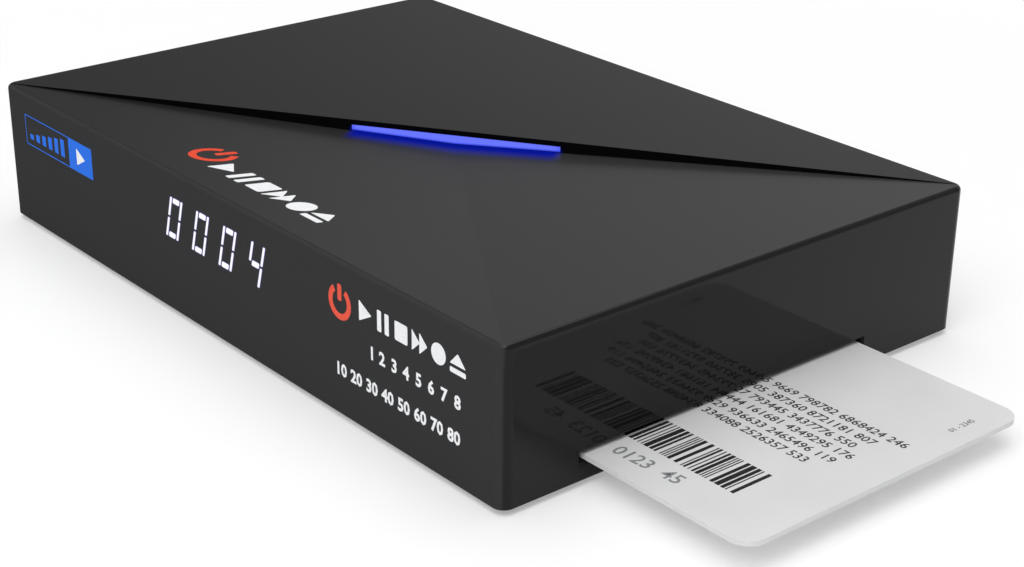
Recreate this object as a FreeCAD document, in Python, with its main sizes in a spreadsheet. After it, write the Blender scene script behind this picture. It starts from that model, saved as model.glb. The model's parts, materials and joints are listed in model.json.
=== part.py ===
"""Satellite television receiver with a smart card in its side slot.

Millimetres, +Z up. The origin is on the surface that the feet stand on, under the middle of
the case. The front, with the digits, faces -Y. The card slot is in the +X wall.
The roof is folded: a flat upper deck behind the diagonal, and a lower deck of two shallow
facets in front of it, so that a riser opens between them and tapers out at both corners.
"""
import FreeCAD, Part
import math
import os
import re

import Sketcher

SIZES = {
    # case and its moulded cover
    "case_width": 132.7,
    "case_depth": 89.6,
    "case_height": 23.3,
    "foot_gap": 1.0,
    "wall": 2.0,
    "roof": 2.0,
    "corner_round": 1.8,
    "edge_round": 0.8,
    "inner_round": 1.0,
    "deck_drop": 2.4,
    "fold_over": 0.6,
    "past_edge": 2.0,
    # screw bosses of the cover, and the screws that come up through the tray
    "boss_radius": 2.6,
    "boss_inset_x": 4.2,
    "boss_inset_y": 6.0,
    "boss_pilot": 1.2,
    "pilot_depth": 9.0,
    "boss_pad": 1.5,
    "boss_pad_radius": 4.0,
    "case_screw_radius": 1.15,
    "case_screw_length": 8.0,
    "case_head_radius": 2.3,
    "case_head_height": 1.4,
    "recess_length": 2.5,
    "recess_width": 0.62,
    "recess_depth": 0.8,
    "head_sink": 1.8,
    "head_clear": 0.3,
    # tray, vents and feet
    "tray_thick": 2.0,
    "seam": 0.15,
    "rim_height": 3.0,
    "rim_thick": 1.0,
    "rim_inset": 0.3,
    "vent_length": 18.0,
    "vent_width": 1.8,
    "vent_pitch": 4.0,
    "vent_x": -38.0,
    "vent_y": -4.0,
    "foot_radius": 5.0,
    "foot_sink": 0.6,
    "foot_chamfer": 0.3,
    "foot_clear": 0.2,
    "foot_inset_x": 14.5,
    "foot_inset_y": 12.0,
    # rear panel in its groove
    "panel_thick": 1.5,
    "panel_inset": 1.5,
    "panel_groove": 0.7,
    "panel_clear": 0.1,
    "cutout_clear": 0.3,
    "socket_proud": 0.3,
    "grille_x": -10.4,
    "grille_rise": 18.2,
    "grille_width": 1.2,
    "grille_height": 4.4,
    "grille_pitch": 2.4,
    # main board
    "standoff_rise": 3.4,
    "standoff_radius": 2.6,
    "standoff_pilot": 0.95,
    "standoff_pilot_depth": 3.0,
    "left_post_inset": 10.5,
    "left_post_front": -27.0,
    "left_post_rear": 13.5,
    "rear_post_inset": 10.0,
    "rear_post_gap": 1.5,
    "front_post_inset": 17.0,
    "front_post_gap": 0.8,
    "board_thick": 1.6,
    "board_side_gap": 3.3,
    "board_front_gap": 1.8,
    "board_rear_gap": 0.9,
    "boss_notch": 3.4,
    "board_hole": 1.3,
    "board_screw_radius": 0.9,
    "board_screw_length": 4.2,
    "board_head_radius": 2.0,
    "board_head_height": 1.1,
    # smart card, its slot and its reader
    "card_length": 85.6,
    "card_width": 53.98,
    "card_thick": 0.76,
    "card_corner": 3.18,
    "card_out": 29.3,
    "card_rise": 3.3,
    "card_mid_y": -3.8,
    "chip_from_end": 15.06,
    "chip_from_middle": 3.1,
    "chip_length": 12.6,
    "chip_width": 11.4,
    "chip_sink": 0.2,
    "chip_corner": 1.5,
    "slot_side_gap": 0.61,
    "slot_gap": 0.42,
    "slot_chamfer": 0.4,
    "reader_gap": 0.5,
    "reader_depth": 56.0,
    "reader_stop": 2.0,
    "reader_side": 2.2,
    "reader_recess": 0.8,
    "reader_floor_gap": 0.2,
    "channel_side_gap": 0.2,
    "channel_gap": 0.2,
    "bay_wall_gap": 0.2,
    "bay_end_gap": 1.0,
    "bay_side_gap": 0.5,
    "contact_pitch": 2.54,
    "contact_row": 7.62,
    "contact_width": 1.2,
    "contact_thick": 0.25,
    "contact_reach": 4.4,
    "contact_card_gap": 0.25,
    "contact_rise": 0.3,
    # light guide along the fold
    "guide_length": 35.0,
    "lip_over_guide": 0.87,
    "guide_reach": 5.0,
    "guide_gap": 0.1,
    "guide_leg_gap": 0.2,
    "guide_end": 0.6,
    "guide_foot": 1.2,
    "led_length": 2.8,
    "led_width": 1.4,
    "led_height": 0.8,
    "led_pitch": 8.0,
    "led_air": 0.5,
    # display behind the front wall
    "display_skin": 0.8,
    "display_mid_x": -0.5,
    "display_mid_rise": 15.65,
    "display_width": 37.0,
    "display_height": 9.6,
    "display_depth": 6.0,
    "display_gap": 0.1,
    "digit_pitch": 7.47,
    "digit_width": 3.6,
    "digit_height": 6.9,
    "digit_slant": 2.0,
    "stroke": 0.8,
    "stroke_gap": 0.25,
    "segment_sink": 0.3,
    "display_board_width": 62.0,
    "display_board_height": 12.4,
    "display_board_thick": 1.2,
    "header_length": 26.0,
    "header_size": 2.5,
    "infrared_x": 25.0,
    "infrared_width": 5.2,
    "infrared_height": 6.9,
    "infrared_depth": 3.2,
    "infrared_lens": 2.3,
    "infrared_drop": 0.5,
    "infrared_gap": 0.3,
    # rear sockets, by the place of each along the panel
    "lnb_x": -46.5,
    "lan_x": -25.0,
    "hdmi_x": -6.0,
    "usb_x": 11.0,
    "optical_x": 25.0,
    "jack_x": 36.5,
    "power_x": 48.0,
    # tuner can and aerial socket
    "can_width": 20.0,
    "can_depth": 20.0,
    "can_height": 10.2,
    "can_wall": 0.6,
    "can_rear_gap": 0.2,
    "trim_hole": 1.1,
    "trim_pitch": 5.0,
    "lid_thick": 0.4,
    "lid_gap": 0.1,
    "lid_skirt": 2.5,
    "lnb_rise": 6.2,
    "lnb_radius": 4.7,
    "lnb_bore": 3.1,
    "lnb_flats": 11.0,
    "lnb_shoulder_proud": 0.6,
    "lnb_length": 10.0,
    "lnb_chamfer": 0.5,
    "lnb_core": 0.6,
    "lnb_core_sink": 0.6,
    "insert_gap": 0.05,
    # network socket
    "lan_width": 16.0,
    "lan_height": 12.6,
    "lan_depth": 15.0,
    "lan_mouth": 11.8,
    "lan_roof": 1.2,
    "lan_mouth_height": 7.8,
    "lan_latch": 6.4,
    "lan_latch_end": 4.0,
    "lan_step": 1.3,
    "lan_mouth_depth": 12.5,
    "lan_pin_width": 0.4,
    "lan_pin_pitch": 1.02,
    "lan_pin_drop": 2.6,
    "lan_pin_thick": 0.5,
    "lan_pin_bend": 0.4,
    "lan_pin_tip": 0.3,
    "lan_lamp_x": 5.75,
    "lan_lamp_rise": 1.75,
    "lan_lamp_width": 3.1,
    "lan_lamp_height": 1.8,
    "lan_lamp_depth": 0.45,
    # screen socket
    "hdmi_width": 15.0,
    "hdmi_height": 5.6,
    "hdmi_bevel": 1.9,
    "hdmi_depth": 12.0,
    "metal": 0.4,
    "hdmi_floor": 1.0,
    "hdmi_tongue_width": 11.2,
    "hdmi_tongue_thick": 1.3,
    "hdmi_tongue_length": 8.5,
    "hdmi_tongue_rise": 3.25,
    "spring_width": 1.8,
    "spring_length": 5.0,
    "spring_in": 4.0,
    "spring_pitch": 6.0,
    # data socket
    "usb_width": 13.2,
    "usb_height": 5.9,
    "usb_depth": 14.0,
    "usb_tongue_width": 11.2,
    "usb_tongue_thick": 1.9,
    "usb_tongue_length": 9.0,
    "usb_tongue_above": 0.6,
    # optical sound socket and its spring door
    "optical_width": 11.0,
    "optical_height": 10.4,
    "optical_depth": 13.5,
    "optical_mouth": 8.8,
    "optical_floor": 0.8,
    "optical_mouth_depth": 11.0,
    "nozzle_radius": 1.2,
    "nozzle_length": 1.5,
    "door_side_gap": 0.2,
    "door_thick": 0.9,
    "door_axis_in": 1.0,
    "door_axis_below": 0.9,
    "door_pin": 0.45,
    "door_pin_gap": 0.05,
    "door_barrel": 0.65,
    "door_foot_gap": 0.3,
    # sound and picture jack
    "jack_width": 7.0,
    "jack_height": 7.0,
    "jack_depth": 12.0,
    "jack_nose": 3.0,
    "jack_nose_length": 2.4,
    "jack_bore": 1.8,
    "jack_bore_depth": 13.0,
    # power inlet
    "power_width": 9.0,
    "power_height": 11.0,
    "power_depth": 13.5,
    "power_bore": 3.1,
    "power_bore_depth": 9.5,
    "power_rise": 6.4,
    "power_pin": 1.0,
    "power_pin_length": 8.7,
    # chips and the rest of the main board
    "soc_x": -23.5,
    "soc_y": 14.5,
    "soc_side": 17.0,
    "soc_thick": 1.5,
    "pad_side": 15.0,
    "pad_thick": 0.5,
    "sink_side": 25.0,
    "sink_base": 2.0,
    "fin_height": 5.5,
    "fin_thick": 1.0,
    "fin_pitch": 3.0,
    "memory_length": 13.0,
    "memory_width": 8.0,
    "memory_x": -48.0,
    "memory_y": 3.0,
    "memory_pitch": 12.0,
    "chip_height": 1.1,
    "chip_mark": 0.5,
    "chip_mark_inset": 1.4,
    "chip_mark_depth": 0.1,
    "flash_length": 16.0,
    "flash_width": 11.0,
    "flash_x": -18.0,
    "flash_y": -22.0,
    "coil_side": 7.2,
    "coil_height": 3.6,
    "coil_round": 1.4,
    "coil_x": 26.0,
    "coil_y": 18.0,
    "coil_pitch": 11.0,
    "can_cap_radius": 4.0,
    "can_cap_height": 9.5,
    "can_cap_round": 0.8,
    "can_cap_base": 8.8,
    "can_cap_base_height": 1.2,
    "can_cap_x": 30.0,
    "can_cap_y": 2.0,
    "can_cap_pitch": 11.0,
    "crystal_length": 11.4,
    "crystal_width": 4.8,
    "crystal_height": 3.5,
    "crystal_x": -42.0,
    "crystal_y": -22.0,
}

# lines that several pieces share, as expressions of the sizes
BASE = "foot_gap"
LIP = "(foot_gap + case_height)"
HALF_W = "(case_width / 2)"
HALF_D = "(case_depth / 2)"
INNER_W = "(case_width / 2 - wall)"
INNER_D = "(case_depth / 2 - wall)"
TRAY_TOP = "(foot_gap + tray_thick)"
CEILING = f"({LIP} - roof)"
CARD_Z = "(foot_gap + card_rise)"
BOARD_UNDER = f"({TRAY_TOP} + standoff_rise)"
BOARD_TOP = f"({BOARD_UNDER} + board_thick)"
PANEL_REAR = f"({HALF_D} - panel_inset)"
PANEL_FRONT = f"({PANEL_REAR} - panel_thick)"
MOUTH = f"({PANEL_REAR} + socket_proud)"
FOLD = "sqrt(case_width ^ 2 + case_depth ^ 2)"
FOLD_TURN = "atan2(case_depth; case_width)"
BOARD_SIDE = f"({INNER_W} - board_side_gap)"
BOARD_FRONT = f"({INNER_D} - board_front_gap)"
BOARD_REAR = f"({PANEL_FRONT} - board_rear_gap)"
BOSS_X = f"({INNER_W} - boss_inset_x)"
BOSS_Y = f"({INNER_D} - boss_inset_y)"
DISPLAY_FACE = f"({HALF_D} - display_skin - display_gap)"
DISPLAY_BACK = f"({DISPLAY_FACE} - display_depth)"
CAN_REAR = f"({BOARD_REAR} - can_rear_gap)"
SLOT_WIDTH = "(card_width + 2 * slot_side_gap)"
SLOT_HEIGHT = "(card_thick + 2 * slot_gap)"
CHANNEL_WIDTH = "(card_width + 2 * channel_side_gap)"
CHANNEL_HEIGHT = "(card_thick + 2 * channel_gap)"

CORNERS = [(sx, sy) for sx in (-1, 1) for sy in (-1, 1)]
BOSSES = [(f"{sx} * {BOSS_X}", f"{sy} * {BOSS_Y}") for sx, sy in CORNERS]
FEET = [(f"{sx} * ({HALF_W} - foot_inset_x)", f"{sy} * ({HALF_D} - foot_inset_y)") for sx, sy in CORNERS]
# the right-hand standoffs stand clear of the card reader, one behind it and one in front
READER_HALF = "(card_width / 2 + channel_side_gap + reader_side)"
STANDOFFS = [
    (f"-({HALF_W} - left_post_inset)", "left_post_front"),
    (f"-({HALF_W} - left_post_inset)", "left_post_rear"),
    (f"{HALF_W} - rear_post_inset", f"card_mid_y + {READER_HALF} + standoff_radius + rear_post_gap"),
    (f"{HALF_W} - front_post_inset", f"card_mid_y - {READER_HALF} - standoff_radius - front_post_gap"),
]

ALIAS = re.compile(r"\b(" + "|".join(SIZES) + r")\b")

doc = FreeCAD.newDocument("satellite_receiver")
sheet = doc.addObject("Spreadsheet::Sheet", "Sizes")
for row, (alias, value) in enumerate(SIZES.items(), start=1):
    sheet.set(f"A{row}", alias)
    sheet.set(f"B{row}", str(value))
    sheet.setAlias(f"B{row}", alias)
doc.recompute()

kept = []


def tie(item, prop, text):
    """Bind a property to an expression whose size words point at the sheet."""
    item.setExpression(prop, ALIAS.sub(r"Sizes.\1", text))


def new_body(name, x="0", y="0", z="0", turn=None, keep=True):
    """An empty body at a place in the case; a body that only cuts is not kept."""
    body = doc.addObject("PartDesign::Body", name)
    body.Label = name
    for axis, text in zip("xyz", (x, y, z)):
        tie(body, f"Placement.Base.{axis}", text)
    if turn:
        tie(body, "Placement.Rotation.Angle", turn)
    if keep:
        kept.append(body)
    return body


def origin_item(body, role):
    """One of the body's own origin planes or axes."""
    return next(item for item in body.Origin.OriginFeatures if item.Role == role)


def sketch_on(body, plane, x="0", y="0", rise="0"):
    """A sketch on an origin plane of the body, moved within it by x, y and lifted by rise."""
    sketch = body.newObject("Sketcher::SketchObject", f"{body.Name}_sketch")
    sketch.AttachmentSupport = (origin_item(body, f"{plane}_Plane"), "")
    sketch.MapMode = "FlatFace"
    for axis, text in zip("xyz", (x, y, rise)):
        tie(sketch, f"AttachmentOffset.Base.{axis}", text)
    return sketch


def pin_down(sketch, geometry, point, x, y):
    """Hold one point of a sketch at x, y from the sketch's origin."""
    for axis, text in (("X", x), ("Y", y)):
        index = sketch.addConstraint(Sketcher.Constraint(f"Distance{axis}", -1, 1, geometry, point, 1.0))
        label = f"{axis.lower()}_{geometry}_{point}"
        sketch.renameConstraint(index, label)
        tie(sketch, f"Constraints.{label}", text)


def outline(sketch, points):
    """A closed run of straight lines through the points."""
    count = len(points)
    first = sketch.GeometryCount
    turns = [math.tau * i / count for i in range(count)]
    ring = [FreeCAD.Vector(math.cos(turn), math.sin(turn), 0) for turn in turns]
    for i in range(count):
        sketch.addGeometry(Part.LineSegment(ring[i], ring[(i + 1) % count]), False)
    for i, (x, y) in enumerate(points):
        sketch.addConstraint(Sketcher.Constraint("Coincident", first + i, 2, first + (i + 1) % count, 1))
        pin_down(sketch, first + i, 1, x, y)
    return sketch


def rectangle(sketch, width, height, x="0", y="0"):
    """A rectangle about x, y."""
    left, right = f"{x} - ({width}) / 2", f"{x} + ({width}) / 2"
    low, high = f"{y} - ({height}) / 2", f"{y} + ({height}) / 2"
    return outline(sketch, [(left, low), (right, low), (right, high), (left, high)])


def circle(sketch, radius, x="0", y="0"):
    """A circle about x, y."""
    index = sketch.addGeometry(Part.Circle(FreeCAD.Vector(), FreeCAD.Vector(0, 0, 1), 1.0), False)
    pin_down(sketch, index, 3, x, y)
    label = f"radius_{index}"
    sketch.renameConstraint(sketch.addConstraint(Sketcher.Constraint("Radius", index, 1.0)), label)
    tie(sketch, f"Constraints.{label}", radius)
    return sketch


def sweep(body, kind, name, sketch, length, back=False):
    """A pad or a pocket of a sketch; back turns it to the other side of the sketch."""
    feature = body.newObject(f"PartDesign::{kind}", f"{body.Name}_{name}")
    feature.Profile = sketch
    feature.Reversed = back
    tie(feature, "Length", length)
    return feature


def pad(body, name, sketch, length, back=False):
    """Add the sketch's area times a length."""
    return sweep(body, "Pad", name, sketch, length, back)


def pocket(body, name, sketch, length, back=False):
    """Take away the sketch's area times a length."""
    return sweep(body, "Pocket", name, sketch, length, back)


def revolve(body, name, sketch, axis):
    """Turn the sketch once round one of the body's own axes."""
    feature = body.newObject("PartDesign::Revolution", f"{body.Name}_{name}")
    feature.Profile = sketch
    feature.ReferenceAxis = (origin_item(body, f"{axis}_Axis"), [""])
    feature.Angle = 360
    return feature


def dress(body, kind, name, base, wanted, size):
    """Fillet or chamfer those edges of a feature that the test picks."""
    doc.recompute()
    picked = [f"Edge{i}" for i, edge in enumerate(base.Shape.Edges, start=1) if wanted(edge)]
    feature = body.newObject(f"PartDesign::{kind}", f"{body.Name}_{name}")
    feature.Base = (base, picked)
    tie(feature, "Radius" if kind == "Fillet" else "Size", size)
    return feature


def row_of(body, name, features, axis, pitch, count):
    """Repeat one or more features along one of the body's axes."""
    doc.recompute()
    pattern = body.newObject("PartDesign::LinearPattern", f"{body.Name}_{name}")
    pattern.Originals = features
    pattern.Direction = (origin_item(body, f"{axis}_Axis"), [""])
    pattern.Mode = "Spacing"
    tie(pattern, "Offset", pitch)
    pattern.Occurrences = count
    body.Tip = pattern
    return pattern


def upright(edge):
    """Is the edge straight and along Z?"""
    box = edge.BoundBox
    return box.ZLength > 0.01 and box.XLength + box.YLength < 0.001


def level_at(z):
    """A test for edges that lie all at one height of a body."""
    return lambda edge: abs(edge.BoundBox.ZMin - z) + abs(edge.BoundBox.ZMax - z) < 0.001


def size(alias):
    """The value that the sheet holds."""
    return sheet.get(alias)


def fold_cut(body, top, rise="0"):
    """Cut the lower deck: a triangle above the fold, drawn down to the point where the facets meet.

    Its sides widen upwards from that point through the case's own top edges, so the two facets
    leave the edges at full height and the riser tapers out in the two corners of the fold.
    """
    spread = "(1 + fold_over / deck_drop)"
    x, y = f"{HALF_W} * {spread}", f"{HALF_D} * {spread}"
    shift = (f"-({rise}) * case_depth / {FOLD}", f"({rise}) * case_width / {FOLD}")
    mouth = sketch_on(body, "XY", *shift, rise=f"{top} + fold_over")
    outline(mouth, [(f"-{x}", f"-{y}"), (x, f"-{y}"), (x, y)])
    point = sketch_on(body, "XY", *shift, rise=f"{top} - deck_drop")
    point.addGeometry(Part.Point(FreeCAD.Vector()), False)
    point.addConstraint(Sketcher.Constraint("Coincident", 0, 1, -1, 1))
    loft = body.newObject("PartDesign::SubtractiveLoft", f"{body.Name}_fold")
    loft.Profile = mouth
    loft.Sections = [(point, ["Vertex1"])]
    return loft


def guide_face(sketch, gap):
    """The lit face in the riser: its top follows the lip, its foot follows the two facets."""
    end = f"(guide_length / 2 - {gap})"
    high = f"{LIP} - lip_over_guide - {gap}"
    low = f"{LIP} - deck_drop + {gap}"
    return outline(
        sketch,
        [
            (f"-{end}", high),
            (f"-{end}", f"{low} + deck_drop * 2 * {end} / {FOLD}"),
            ("0", low),
            (end, f"{low} + deck_drop * 2 * {end} / {FOLD}"),
            (end, high),
        ],
    )


def make_cover():
    """The moulded cover: front wall, side walls and folded roof in one shell, open at the rear and below."""
    core = new_body("cover_core", keep=False)
    floor = sketch_on(core, "XY", rise=f"{BASE} - past_edge")
    outline(
        floor,
        [
            (f"-{INNER_W}", f"-{INNER_D}"),
            (INNER_W, f"-{INNER_D}"),
            (INNER_W, f"{HALF_D} + past_edge"),
            (f"-{INNER_W}", f"{HALF_D} + past_edge"),
        ],
    )
    block = pad(core, "block", floor, f"{CEILING} - {BASE} + past_edge")
    dress(core, "Fillet", "corners", block, lambda e: upright(e) and e.BoundBox.YMax < 0, "inner_round")
    fold_cut(core, CEILING, "wall")

    seat = new_body("guide_seat", turn=FOLD_TURN, keep=False)
    pad(seat, "window", guide_face(sketch_on(seat, "XZ"), "0"), "guide_reach", back=True)
    leg_room = rectangle(
        sketch_on(seat, "XZ", rise="-wall"),
        "guide_length - 2 * guide_end",
        "2 * lip_over_guide",
        y=f"{LIP} - 2 * lip_over_guide",
    )
    pad(seat, "leg_room", leg_room, "guide_reach - wall", back=True)

    cover = new_body("top_cover")
    footprint = rectangle(sketch_on(cover, "XY", rise=BASE), "case_width", "case_depth")
    block = pad(cover, "block", footprint, "case_height")
    corners = dress(cover, "Fillet", "corners", block, upright, "corner_round")
    top = size("foot_gap") + size("case_height")
    dress(cover, "Fillet", "top_edge", corners, level_at(top), "edge_round")
    fold_cut(cover, LIP)
    doc.recompute()
    hollow = cover.newObject("PartDesign::Boolean", "top_cover_hollow")
    hollow.Type = "Cut"
    hollow.setObjects([core, seat])
    doc.recompute()

    boss_foot = f"{TRAY_TOP} + boss_pad"
    bosses = sketch_on(cover, "XY", rise=boss_foot)
    pilots = sketch_on(cover, "XY", rise=boss_foot)
    for x, y in BOSSES:
        circle(bosses, "boss_radius", x, y)
        circle(pilots, "boss_pilot", x, y)
    pad(cover, "bosses", bosses, f"{CEILING} + roof / 2 - ({boss_foot})")
    pocket(cover, "pilots", pilots, "pilot_depth", back=True)

    groove = sketch_on(cover, "XZ", rise=f"-({PANEL_FRONT} - panel_clear)")
    groove_top = f"({CEILING} + panel_groove)"
    rectangle(groove, f"2 * ({INNER_W} + panel_groove)", groove_top, y=f"{groove_top} / 2")
    pocket(cover, "panel_groove", groove, "panel_thick + 2 * panel_clear")

    recess = sketch_on(cover, "XZ", rise=INNER_D)
    rectangle(
        recess,
        "display_width + 4 * display_gap",
        "display_height + 4 * display_gap",
        "display_mid_x",
        f"{BASE} + display_mid_rise",
    )
    circle(recess, "infrared_lens + 4 * display_gap", "infrared_x", f"{BASE} + display_mid_rise")
    pocket(cover, "display_recess", recess, "wall - display_skin", back=True)

    slot = rectangle(sketch_on(cover, "YZ", rise=HALF_W), SLOT_WIDTH, SLOT_HEIGHT, "card_mid_y", CARD_Z)
    slot_cut = pocket(cover, "card_slot", slot, "wall + past_edge")
    wall_x = size("case_width") / 2
    slot_z = size("foot_gap") + size("card_rise")
    side_reach = size("card_width") / 2 + 2 * size("slot_side_gap")
    high_reach = size("card_thick") / 2 + 2 * size("slot_gap")

    def round_slot(edge):
        box = edge.BoundBox
        beside = all(abs(y - size("card_mid_y")) < side_reach for y in (box.YMin, box.YMax))
        level = all(abs(z - slot_z) < high_reach for z in (box.ZMin, box.ZMax))
        return beside and level and box.XMin > wall_x - 0.001

    dress(cover, "Chamfer", "slot_lead", slot_cut, round_slot, "slot_chamfer")


def make_tray():
    """The tray that closes the case from below, with its vents, standoffs and screw seats."""
    tray = new_body("bottom_tray")
    side, front = f"({INNER_W} - seam)", f"({INNER_D} - seam)"
    floor = outline(
        sketch_on(tray, "XY", rise=BASE),
        [(f"-{side}", f"-{front}"), (side, f"-{front}"), (side, HALF_D), (f"-{side}", HALF_D)],
    )
    plate = pad(tray, "plate", floor, "tray_thick")
    dress(tray, "Fillet", "corners", plate, lambda e: upright(e) and e.BoundBox.YMax < 0, "inner_round")

    rim_out, rim_in = f"({side} - rim_inset)", f"({side} - rim_inset - rim_thick)"
    rim_front, rim_back = f"({front} - rim_inset)", f"({front} - rim_inset - rim_thick)"
    rim = outline(
        sketch_on(tray, "XY", rise=TRAY_TOP),
        [
            (f"-{rim_out}", f"-{rim_front}"),
            (f"{BOSS_X}", f"-{rim_front}"),
            (f"{BOSS_X}", f"-{rim_back}"),
            (f"-{rim_in}", f"-{rim_back}"),
            (f"-{rim_in}", BOSS_Y),
            (f"-{rim_out}", BOSS_Y),
        ],
    )
    pad(tray, "rim", rim, "rim_height")

    seats = sketch_on(tray, "XY", rise=TRAY_TOP)
    sinks = sketch_on(tray, "XY", rise=BASE)
    holes = sketch_on(tray, "XY", rise=BASE)
    for x, y in BOSSES:
        circle(seats, "boss_pad_radius", x, y)
        circle(sinks, "case_head_radius + head_clear", x, y)
        circle(holes, "case_screw_radius + head_clear", x, y)
    pad(tray, "seats", seats, "boss_pad")
    pocket(tray, "sinks", sinks, "head_sink", back=True)
    pocket(tray, "holes", holes, "tray_thick + boss_pad", back=True)

    posts = sketch_on(tray, "XY", rise=TRAY_TOP)
    pilots = sketch_on(tray, "XY", rise=BOARD_UNDER)
    for x, y in STANDOFFS:
        circle(posts, "standoff_radius", x, y)
        circle(pilots, "standoff_pilot", x, y)
    pad(tray, "posts", posts, "standoff_rise")
    pocket(tray, "post_pilots", pilots, "standoff_pilot_depth")

    foot_seats = sketch_on(tray, "XY", rise=BASE)
    for x, y in FEET:
        circle(foot_seats, "foot_radius + foot_clear", x, y)
    pocket(tray, "foot_seats", foot_seats, "foot_sink", back=True)

    reader_bay = sketch_on(tray, "XY", rise=f"{TRAY_TOP} + boss_pad")
    bay_near = f"({INNER_W} - bay_wall_gap)"
    bay_far = f"({INNER_W} - reader_gap - reader_depth - bay_end_gap)"
    bay_low = f"(card_mid_y - {READER_HALF} - bay_side_gap)"
    bay_high = f"(card_mid_y + {READER_HALF} + bay_side_gap)"
    outline(reader_bay, [(bay_far, bay_low), (bay_near, bay_low), (bay_near, bay_high), (bay_far, bay_high)])
    pocket(tray, "reader_bay", reader_bay, "boss_pad + reader_recess")

    groove = rectangle(
        sketch_on(tray, "XY", rise=TRAY_TOP),
        "case_width",
        "panel_thick + 2 * panel_clear",
        y=f"({PANEL_FRONT} + {PANEL_REAR}) / 2",
    )
    pocket(tray, "panel_groove", groove, "panel_groove")

    vent = sketch_on(tray, "XY", rise=BASE)
    rectangle(vent, "vent_width", "vent_length", "vent_x", "vent_y")
    slot = pocket(tray, "vent", vent, "tray_thick", back=True)
    row_of(tray, "vents", [slot], "X", "vent_pitch", 10)


def make_feet():
    """Four rubber feet, each pressed into its round seat under the tray."""
    feet = new_body("rubber_feet")
    pads = sketch_on(feet, "XY")
    for x, y in FEET:
        circle(pads, "foot_radius", x, y)
    disc = pad(feet, "discs", pads, "foot_gap + foot_sink")
    dress(feet, "Chamfer", "bottom_edge", disc, level_at(0.0), "foot_chamfer")


def make_screws(name, places, z, head_radius, head_height, shank_radius, length, up):
    """Screws with round heads; up says that the shank points upwards from the head."""
    screws = new_body(name, z=z)
    heads = sketch_on(screws, "XY")
    shanks = sketch_on(screws, "XY")
    for x, y in places:
        circle(heads, head_radius, x, y)
        circle(shanks, shank_radius, x, y)
    head = pad(screws, "heads", heads, head_height, back=up)
    face = -size(head_height) if up else size(head_height)
    dress(screws, "Chamfer", "crowns", head, level_at(face), f"{head_height} / 2.5")
    pad(screws, "shanks", shanks, length, back=not up)
    arms = ("recess_length", "recess_width")
    for label, across in (("slots", arms), ("cross_slots", arms[::-1])):
        slots = sketch_on(screws, "XY", rise=f"-{head_height}" if up else head_height)
        for x, y in places:
            rectangle(slots, *across, x, y)
        pocket(screws, label, slots, "recess_depth", back=up)


def make_panel():
    """The rear panel, held in a groove all round, with an opening for each socket."""
    panel = new_body("rear_panel", y=PANEL_REAR)
    low = f"({TRAY_TOP} - panel_groove + panel_clear)"
    high = f"({CEILING} + panel_groove - panel_clear)"
    sheet_face = rectangle(
        sketch_on(panel, "XZ"),
        f"2 * ({INNER_W} + panel_groove - panel_clear)",
        f"{high} - {low}",
        y=f"({high} + {low}) / 2",
    )
    pad(panel, "sheet", sheet_face, "panel_thick")
    cuts = sketch_on(panel, "XZ")
    for at, width, height in (
        ("lan_x", "lan_width", "lan_height"),
        ("hdmi_x", "hdmi_width", "hdmi_height"),
        ("usb_x", "usb_width", "usb_height"),
        ("optical_x", "optical_width", "optical_height"),
        ("power_x", "power_width", "power_height"),
    ):
        opening = (f"{width} + 2 * cutout_clear", f"{height} + 2 * cutout_clear")
        rectangle(cuts, *opening, at, f"{BOARD_TOP} + {height} / 2")
    circle(cuts, "jack_nose + cutout_clear", "jack_x", f"{BOARD_TOP} + jack_height / 2")
    circle(cuts, "lnb_flats / sqrt(3) + cutout_clear", "lnb_x", f"{BOARD_TOP} + lnb_rise")
    pocket(panel, "cutouts", cuts, "panel_thick", back=True)
    gap = rectangle(sketch_on(panel, "XZ"), "grille_width", "grille_height", "grille_x", "grille_rise")
    first = pocket(panel, "grille_gap", gap, "panel_thick", back=True)
    row_of(panel, "grille", [first], "X", "grille_pitch", 11)


def make_board():
    """The main board, notched round the cover's bosses and drilled at its standoffs."""
    board = new_body("main_board")
    notch_x, notch_y = f"({BOSS_X} - boss_notch)", f"({BOSS_Y} - boss_notch)"
    right_side = [
        (notch_x, f"-{BOARD_FRONT}"),
        (notch_x, f"-{notch_y}"),
        (BOARD_SIDE, f"-{notch_y}"),
        (BOARD_SIDE, notch_y),
        (notch_x, notch_y),
        (notch_x, BOARD_REAR),
    ]
    left_side = [(f"-{x}", y) for x, y in reversed(right_side)]
    face = outline(sketch_on(board, "XY", rise=BOARD_UNDER), right_side + left_side)
    pad(board, "sheet", face, "board_thick")
    holes = sketch_on(board, "XY", rise=BOARD_TOP)
    for x, y in STANDOFFS:
        circle(holes, "board_hole", x, y)
    pocket(board, "holes", holes, "board_thick")


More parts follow.
